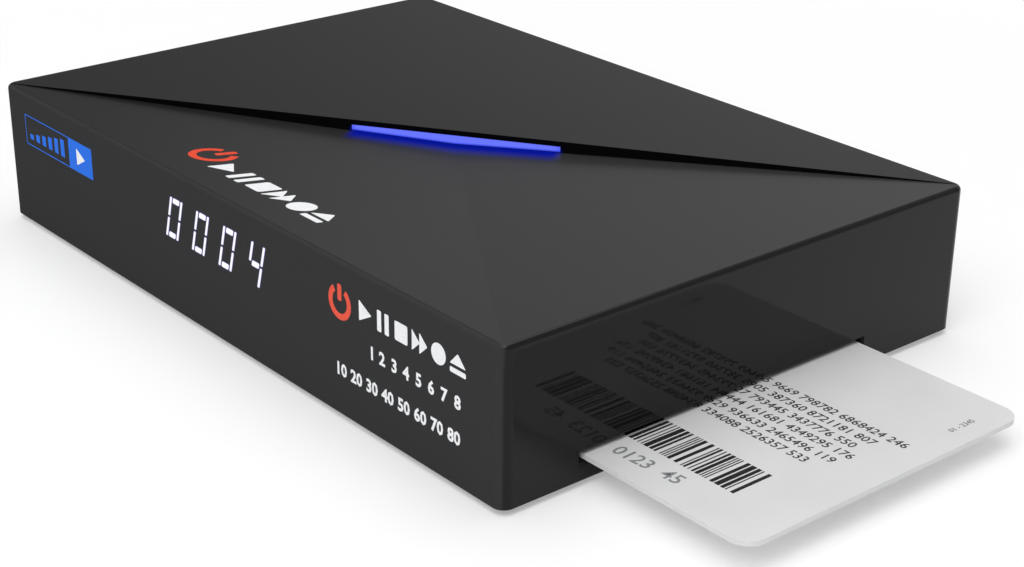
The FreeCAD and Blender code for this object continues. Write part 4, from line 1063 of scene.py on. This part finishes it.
@dataclass
class CardPrint(Fitting):
    """What is printed on the upper face of the card."""

    top: float = 4.68 * MM
    depth: float = 0.012 * MM
    bars_from: float = 48.0 * MM
    bars_to: float = 86.0 * MM
    bar_low: float = -23.0 * MM
    bar_high: float = -15.8 * MM
    line_pitch: float = 2.62 * MM
    line_weight: float = 0.02 * MM
    line_top: float = 3.0 * MM
    line_ends: tuple[float, ...] = (91.5, 88.2, 87.0, 88.9, 88.0, 85.6)
    groups: tuple[int, ...] = (5, 3, 8, 4, 6, 7, 3)
    bar_widths: tuple[float, ...] = (0.22, 0.22, 0.42, 0.62, 0.85)
    bar_gaps: tuple[float, ...] = (0.24, 0.24, 0.42, 0.66)
    figure_height: float = 1.62 * MM
    seed: int = 11

    def patch(self, x: float, y: float, along: Triple = (1, 0, 0), up: Triple = (0, 1, 0)) -> Patch:
        """A place on the card's face."""
        return Patch((x, y, self.top), along, up)

    def ink(self, name: str, shapes: Sequence[Piece], patch: Patch, finish: str) -> None:
        """Print shapes on the card."""
        self.lay(name, shapes, patch, finish, "card_white", body=Body.CARD)

    def bars(self) -> None:
        """A block of thick and thin bars."""
        chance = random.Random(self.seed)
        unit = flat("bar", (1.0, 1.0), self.depth)
        middle, tall = (self.bar_low + self.bar_high) / 2, self.bar_high - self.bar_low
        shapes, x = [], self.bars_from
        while x < self.bars_to - 0.6 * MM:
            wide = chance.choice(self.bar_widths) * MM
            grow = Matrix.Translation((x + wide / 2, middle, 0)) @ Matrix.Diagonal((wide, tall, 1.0, 1.0))
            shapes.append(copy_of(unit, grow))
            x += wide + chance.choice(self.bar_gaps) * MM
        bpy.data.objects.remove(unit)
        self.ink("card_bars", shapes, self.patch(0, 0), "ink_dark")

    def lines(self) -> None:
        """Six lines of plain figures in groups, running back into the slot."""
        chance = random.Random(self.seed + 1)
        shapes = []
        for row, end in enumerate(self.line_ends):
            text = " ".join(str(chance.randrange(10 ** (n - 1), 10**n)) for n in self.groups)
            line = digits("card_line", text, self.figure_height, self.depth, self.line_weight)
            wide = max(v.co.x for v in line.data.vertices)
            shapes.append(moved(line, x=end * MM - wide, y=self.line_top - row * self.line_pitch))
        self.ink("card_lines", shapes, self.patch(0, 0), "ink_dark")

    def make(self) -> None:
        """Print the card."""
        self.bars()
        self.lines()
        number = digits("card_number", "0123  45", 2.45 * MM, self.depth, 0.03 * MM)
        tilted = self.patch(67.6 * MM, -27.6 * MM, (1, 0.05, 0), (-0.05, 1, 0))
        self.ink("card_number", [number], tilted, "ink_grey")
        small = digits("card_small", "01 - 2345", 0.95 * MM, self.depth)
        upright = self.patch(92.6 * MM, 11.6 * MM, (0, 1, 0), (-1, 0, 0))
        self.ink("card_small_number", [small], upright, "ink_dark")


@dataclass
class Fixings(Fitting):
    """Feet and screws under the case."""

    foot_radius: float = 5.0 * MM
    foot_height: float = 1.6 * MM
    foot_x: float = 51.85 * MM
    foot_y: float = 32.8 * MM
    head_radius: float = 2.3 * MM
    head_height: float = 1.4 * MM
    head_z: float = 2.8 * MM
    shank_radius: float = 1.15 * MM
    shank_length: float = 8.0 * MM
    thread_pitch: float = 0.8 * MM
    recess: Triple = (0.62 * MM, 2.5 * MM, 1.8 * MM)
    screw_x: float = 60.15 * MM
    screw_y: float = 36.8 * MM

    def four(self, name: str, unit: Piece, x: float, y: float) -> Piece:
        """Four copies of a unit, one in each quarter."""
        places = [(sx * x, sy * y) for sx in (-1, 1) for sy in (-1, 1)]
        copies = [copy_of(unit, Matrix.Translation((px, py, 0))) for px, py in places]
        bpy.data.objects.remove(unit)
        return joined(name, copies)

    def feet(self) -> None:
        """Round feet with a rolled edge and two shallow rings in their faces."""
        r, h = self.foot_radius, self.foot_height
        roll, dip = 0.35 * MM, 0.12 * MM
        rings = [(0.62 * r, 0.68 * r), (0.34 * r, 0.40 * r)]
        profile = [(0.0, h), (r, h), (r, roll), (r - 0.3 * roll, 0.3 * roll), (r - roll, 0.0)]
        for inner, outer in rings:
            profile += [(outer, 0.0), (outer - 0.02 * r, dip), (inner + 0.02 * r, dip), (inner, 0.0)]
        profile.append((0.0, 0.0))
        unit = lathe("foot", profile, 56)
        piece = self.four("pressed_feet", unit, self.foot_x, self.foot_y)
        self.put(piece, "foot_rubber", "rubber_feet")

    def screws(self) -> None:
        """Pan-head screws with a cross recess, heads down."""
        r, h, z = self.head_radius, self.head_height, self.head_z
        tip = z + self.shank_length
        profile = [
            (0.0, z - h),
            (0.55 * r, z - h),
            (0.82 * r, z - 0.86 * h),
            (0.97 * r, z - 0.55 * h),
            (r, z - 0.2 * h),
            (r, z),
            (self.shank_radius, z),
        ]
        pitch, crest, root = self.thread_pitch, self.shank_radius, self.shank_radius * 0.78
        level = z + 0.6 * MM
        while level < tip - 1.4 * MM:
            profile += [(root, level), (crest, level + pitch * 0.3), (root, level + pitch * 0.6)]
            level += pitch
        profile += [(root, tip - 1.2 * MM), (0.0, tip)]
        unit = lathe("screw", profile, 40)
        for turn in (0.0, math.pi / 2):
            cutter = block("recess", self.recess, (0, 0, z - h), 0.06 * MM)
            cutter.data.transform(Matrix.Rotation(turn, 4, "Z"))
            active(unit)
            cut = unit.modifiers.new("recess", "BOOLEAN")
            cut.operation = "DIFFERENCE"
            cut.solver = "EXACT"
            cut.object = cutter
            bpy.ops.object.modifier_apply(modifier=cut.name)
            bpy.data.objects.remove(cutter)
        piece = self.four("cross_head_screws", unit, self.screw_x, self.screw_y)
        self.put(piece, "screw_black", "case_screws")

    def make(self) -> None:
        """Fit the feet and the screws."""
        self.feet()
        self.screws()


@dataclass
class RearSockets(Fitting):
    """What the sockets show at the rear beyond their plain solids."""

    panel_y: float = 43.3 * MM
    mouth_y: float = 43.6 * MM
    board_z: float = 8.0 * MM
    aerial: tuple[float, float] = (-46.5 * MM, 14.2 * MM)
    network_x: float = -25.0 * MM
    screen_x: float = -6.0 * MM
    data_x: float = 11.0 * MM
    optical_x: float = 25.0 * MM
    jack: tuple[float, float] = (36.5 * MM, 11.5 * MM)
    power: tuple[float, float] = (48.0 * MM, 14.4 * MM)
    ink_depth: float = 0.012 * MM
    sign_size: float = 2.5 * MM
    sign_z: float = 5.3 * MM
    line: float = 0.112

    def turned(self, piece: Piece, x: float, z: float, y: float = 0.0) -> Piece:
        """Lay a piece that stands on +Z along +Y instead, at x, y, z."""
        piece.data.transform(Matrix.Translation((x, y, z)) @ Matrix.Rotation(-math.pi / 2, 4, "X"))
        return piece

    def thread(self) -> None:
        """The aerial socket: six flats and a threaded barrel with a countersunk bore."""
        x, z = self.aerial
        start, face, tip = 40.7 * MM, 43.9 * MM, 53.9 * MM
        crest, root, bore, pitch = 4.7 * MM, 4.25 * MM, 3.1 * MM, 0.794 * MM
        profile = [(bore, start), (crest, start), (crest, face), (root, face + 0.2 * MM)]
        turn = ((root, 0.0), (crest, 0.42), (crest, 0.52), (root, 0.94))
        level = face + 0.5 * MM
        while level < tip - 0.9 * MM:
            profile += [(radius, level + pitch * share) for radius, share in turn]
            level += pitch
        profile += [(root, tip - 0.45 * MM), (root - 0.35 * MM, tip), (bore + 0.25 * MM, tip)]
        profile += [(bore, tip - 0.25 * MM), (bore, start)]
        barrel = lathe("barrel", profile, 64)
        deselect()
        middle = (0, 0, (face + start) / 2)
        bpy.ops.mesh.primitive_cylinder_add(vertices=6, radius=6.35 * MM, depth=face - start, location=middle)
        flats = soften(settle(bpy.context.object), 0.25 * MM)
        piece = self.turned(joined("threaded_barrel", [barrel, flats]), x, z)
        self.put(piece, "socket_nickel", "aerial_socket")

    def windows(self) -> None:
        """Two small lamp windows at the foot of the network socket."""
        for name, across, tint in (("left", -5.75 * MM, "led_green"), ("right", 5.75 * MM, "led_amber")):
            place = (self.network_x + across, self.mouth_y - 0.17 * MM, self.board_z + 1.75 * MM)
            piece = block(f"network_window_{name}", (3.0 * MM, 0.5 * MM, 1.7 * MM), place, 0.12 * MM)
            self.put(piece, tint, slot="socket_black")

    def strips(self) -> None:
        """The gilt contacts on the screen and data tongues."""
        shapes = []
        screen, data, rounding = (0.45 * MM, 7.6 * MM, 0.09 * MM), (1.1 * MM, 7.8 * MM, 0.1 * MM), 0.03 * MM
        z = self.board_z + 3.248 * MM
        for side, count in ((1, 10), (-1, 9)):
            for step in range(count):
                place = (self.screen_x + (step - (count - 1) / 2) * MM, 36.5 * MM, z + side * 0.66 * MM)
                shapes.append(block("strip", screen, place, rounding))
        for across in (-3.5, -1.0, 1.0, 3.5):
            place = (self.data_x + across * MM, 35.0 * MM, self.board_z + 2.97 * MM)
            shapes.append(block("strip", data, place, rounding))
        self.put(joined("tongue_contacts", shapes), "contact_gold")

    def springs(self) -> None:
        """Bowed spring leaves inside the screen and data shells."""
        shapes, length, rise = [], 4.6 * MM, 0.34 * MM
        for middle, offset, wide, high in (
            (self.screen_x, 3.6 * MM, 1.6 * MM, 5.2 * MM),
            (self.data_x, 3.3 * MM, 2.2 * MM, 5.5 * MM),
        ):
            for across in (-offset, offset):
                for level, side in ((0.4 * MM, 1), (high, -1)):
                    place = (middle + across, 40.4 * MM, self.board_z + level + side * 0.08 * MM)
                    leaf = block("leaf", (wide, length, 0.14 * MM), place, 0.04 * MM)
                    with editing(leaf):
                        take_all()
                        bpy.ops.mesh.subdivide(number_cuts=6)
                    for vertex in leaf.data.vertices:
                        t = (vertex.co.y - place[1]) / (length / 2)
                        vertex.co.z += side * rise * max(0.0, 1.0 - t * t) ** 1.5
                    shapes.append(leaf)
        self.put(joined("shell_springs", shapes), "socket_nickel")

    def bezels(self) -> None:
        """The metal ring in the jack and the ring round the power well."""
        jack = ((1.82, -0.5), (2.5, -0.5), (2.5, 0.0), (2.4, 0.1), (1.95, 0.1), (1.82, 0.0), (1.82, -0.5))
        well = ((3.12, -0.5), (3.75, -0.5), (3.75, 0.02), (3.65, 0.12), (3.3, 0.12), (3.12, -0.1), (3.12, -0.5))
        for name, ring, (x, z), finish in (
            ("jack_ring", jack, self.jack, "socket_nickel"),
            ("power_ring_rim", well, self.power, "socket_black"),
        ):
            piece = lathe(name, [(r * MM, h * MM) for r, h in ring])
            self.put(self.turned(piece, x, z, self.mouth_y), finish)

    def bar(self, width: float, height: float, x: float = 0.0, y: float = 0.0) -> Piece:
        """A block of ink, in sizes of a sign."""
        size = self.sign_size
        return moved(flat("ink_bar", (width * size, height * size), self.ink_depth), x=x * size, y=y * size)

    def box(self, width: float, height: float, x: float = 0.0, y: float = 0.0) -> list[Piece]:
        """An open frame of ink, in sizes of a sign."""
        line = self.line
        rows = [self.bar(width, line, x, y + side * (height - line) / 2) for side in (-1, 1)]
        return rows + [self.bar(line, height, x + side * (width - line) / 2, y) for side in (-1, 1)]

    def bow(self, radius: float, sweep: float, start: float = 0.0, weight: float = 1.0) -> Piece:
        """A curved line of ink, in sizes of a sign."""
        size = self.sign_size
        return arc("ink_bow", radius * size, weight * self.line * size, self.ink_depth, sweep, start)

    def spot(self, width: float, sides: int) -> Piece:
        """A round spot of ink, in millimetres."""
        return flat("ink_spot", (width * MM, width * MM), self.ink_depth, sides)

    def pictograms(self) -> None:
        """A plain sign under each socket."""
        bar, box, bow, size, line = self.bar, self.box, self.bow, self.sign_size, self.line
        aerial = [moved(bow(0.55, 150.0, 195.0, 1.4), y=size * 0.35), bar(line, 0.6, 0, -0.3)]
        aerial += [bar(0.7, line, 0, -0.55), moved(self.spot(0.6, 24), y=size * 0.3)]
        network = box(0.5, 0.42, 0, 0.3) + box(0.5, 0.42, -0.5, -0.35) + box(0.5, 0.42, 0.5, -0.35)
        network.append(bar(1.0, line, 0, -0.02))
        screen = box(1.5, 0.9, 0, 0.08) + [bar(0.8, line, 0, -0.55)]
        data = box(1.3, 0.55) + [bar(0.22, 0.2, side * 0.28) for side in (-1, 1)]
        optical = [self.spot(0.8, 28), bow(0.42, 359.0)]
        sound = [bar(0.32, 0.4, -0.35), bow(0.35, 90.0, -45.0), bow(0.6, 90.0, -45.0)]
        horn = flat("horn", (size * 0.5, size * 0.9), self.ink_depth, 3)
        horn.data.transform(Matrix.Translation((-size * 0.1, 0, 0)) @ Matrix.Rotation(math.pi, 4, "Z"))
        sound.append(horn)
        power = [bar(1.1, line, 0, 0.14)] + [bar(0.26, line, x * 0.42, -0.14) for x in (-1, 0, 1)]
        for name, shapes, x in (
            ("sign_aerial", aerial, self.aerial[0]),
            ("sign_network", network, self.network_x),
            ("sign_screen", screen, self.screen_x),
            ("sign_data", data, self.data_x),
            ("sign_optical", optical, self.optical_x),
            ("sign_sound", sound, self.jack[0]),
            ("sign_power", power, self.power[0]),
        ):
            patch = Patch((x, self.panel_y, self.sign_z), (-1, 0, 0), (0, 0, 1))
            self.lay(name, shapes, patch, "ink_white", "panel_black")

    def make(self) -> None:
        """Fit the rear details."""
        self.thread()
        self.windows()
        self.strips()
        self.springs()
        self.bezels()
        self.pictograms()


@dataclass
class Studio:
    """Table, lamps, background and camera."""

    eye: Triple = (0.2315, -0.1827, 0.1280)
    yaw: float = -49.88
    pitch: float = 23.84
    roll: float = 0.64
    focal: float = 68.77
    fill: float = 0.34
    side_from: float = -0.87
    side_to: float = -0.60
    dark_side: float = 0.16
    bright_side: float = 0.47
    table_size: float = 40.0
    sensor: float = 36.0
    nearest: float = 10 * MM
    lamps: tuple[tuple[str, Triple, float, float], ...] = (
        ("lamp_front", (0.35, -0.60, 0.95), 0.8, 7.0),
        ("lamp_top", (-0.10, 0.15, 1.15), 1.1, 6.0),
    )

    def table(self) -> None:
        """A wide pale table."""
        deselect()
        bpy.ops.mesh.primitive_plane_add(size=self.table_size, location=(0, 0, 0))
        table = bpy.context.object
        table.name = "table"
        table.data.materials.append(FloorFinish().make())

    def lamp(self, name: str, place: Triple, size: float, watts: float) -> None:
        """A square soft lamp that looks at the object."""
        data = bpy.data.lights.new(name, "AREA")
        data.size = size
        data.energy = watts
        lamp = bpy.data.objects.new(name, data)
        lamp.location = place
        lamp.rotation_euler = (-Vector(place)).to_track_quat("-Z", "Y").to_euler()
        bpy.context.scene.collection.objects.link(lamp)

    def sky(self) -> None:
        """White to the eye, a plain fill as light, and in reflections a sky that is darker at the left."""
        world = bpy.data.worlds.new("studio")
        bpy.context.scene.world = world
        world.use_nodes = True
        tree = world.node_tree
        ray = tree.nodes.new("ShaderNodeLightPath")
        ahead = tree.nodes.new("ShaderNodeSeparateXYZ")
        tree.links.new(tree.nodes.new("ShaderNodeTexCoord").outputs["Generated"], ahead.inputs[0])
        side = tree.nodes.new("ShaderNodeMapRange")
        tree.links.new(ahead.outputs["X"], side.inputs["Value"])
        for name, value in (
            ("From Min", self.side_from),
            ("From Max", self.side_to),
            ("To Min", self.dark_side),
            ("To Max", self.bright_side),
        ):
            side.inputs[name].default_value = value
        last = tree.nodes["Background"]
        last.inputs["Color"].default_value = (1.0, 1.0, 1.0, 1.0)
        last.inputs["Strength"].default_value = self.fill
        for output in ("Is Glossy Ray", "Is Camera Ray"):
            white = tree.nodes.new("ShaderNodeBackground")
            white.inputs["Color"].default_value = (1.0, 1.0, 1.0, 1.0)
            if output == "Is Glossy Ray":
                tree.links.new(side.outputs[0], white.inputs["Strength"])
            mix = tree.nodes.new("ShaderNodeMixShader")
            tree.links.new(ray.outputs[output], mix.inputs[0])
            tree.links.new(last.outputs[0], mix.inputs[1])
            tree.links.new(white.outputs[0], mix.inputs[2])
            last = mix
        tree.links.new(last.outputs[0], tree.nodes["World Output"].inputs["Surface"])

    def camera(self) -> None:
        """The camera at the photograph's angle."""
        yaw, pitch, roll = (math.radians(a) for a in (self.yaw, self.pitch, self.roll))
        ahead = Vector((math.sin(yaw) * math.cos(pitch), math.cos(yaw) * math.cos(pitch), -math.sin(pitch)))
        level = Vector((math.cos(yaw), -math.sin(yaw), 0.0))
        upward = level.cross(ahead)
        right = level * math.cos(roll) + upward * math.sin(roll)
        up = upward * math.cos(roll) - level * math.sin(roll)
        data = bpy.data.cameras.new("camera")
        data.lens = self.focal
        data.sensor_width = self.sensor
        data.clip_start = self.nearest
        camera = bpy.data.objects.new("camera", data)
        turn = Matrix((right, up, -ahead)).transposed().to_4x4()
        camera.matrix_world = Matrix.Translation(Vector(self.eye)) @ turn
        bpy.context.scene.collection.objects.link(camera)
        bpy.context.scene.camera = camera

    def make(self) -> None:
        """Set the studio up."""
        bpy.context.scene.view_settings.view_transform = "Standard"
        self.camera()
        self.table()
        self.sky()
        for lamp in self.lamps:
            self.lamp(*lamp)


def main() -> None:
    """Build the receiver's looks in order and report each piece."""
    logging.basicConfig(level=logging.INFO, format="%(name)s: %(message)s")
    finishes = Finishes()
    finishes.mix()
    Studio().make()
    finishes.dress()
    LitDigits(finishes).make()
    Printing(finishes).make()
    CardPrint(finishes).make()
    Fixings(finishes).make()
    RearSockets(finishes).make()


if __name__ == "__main__":
    main()
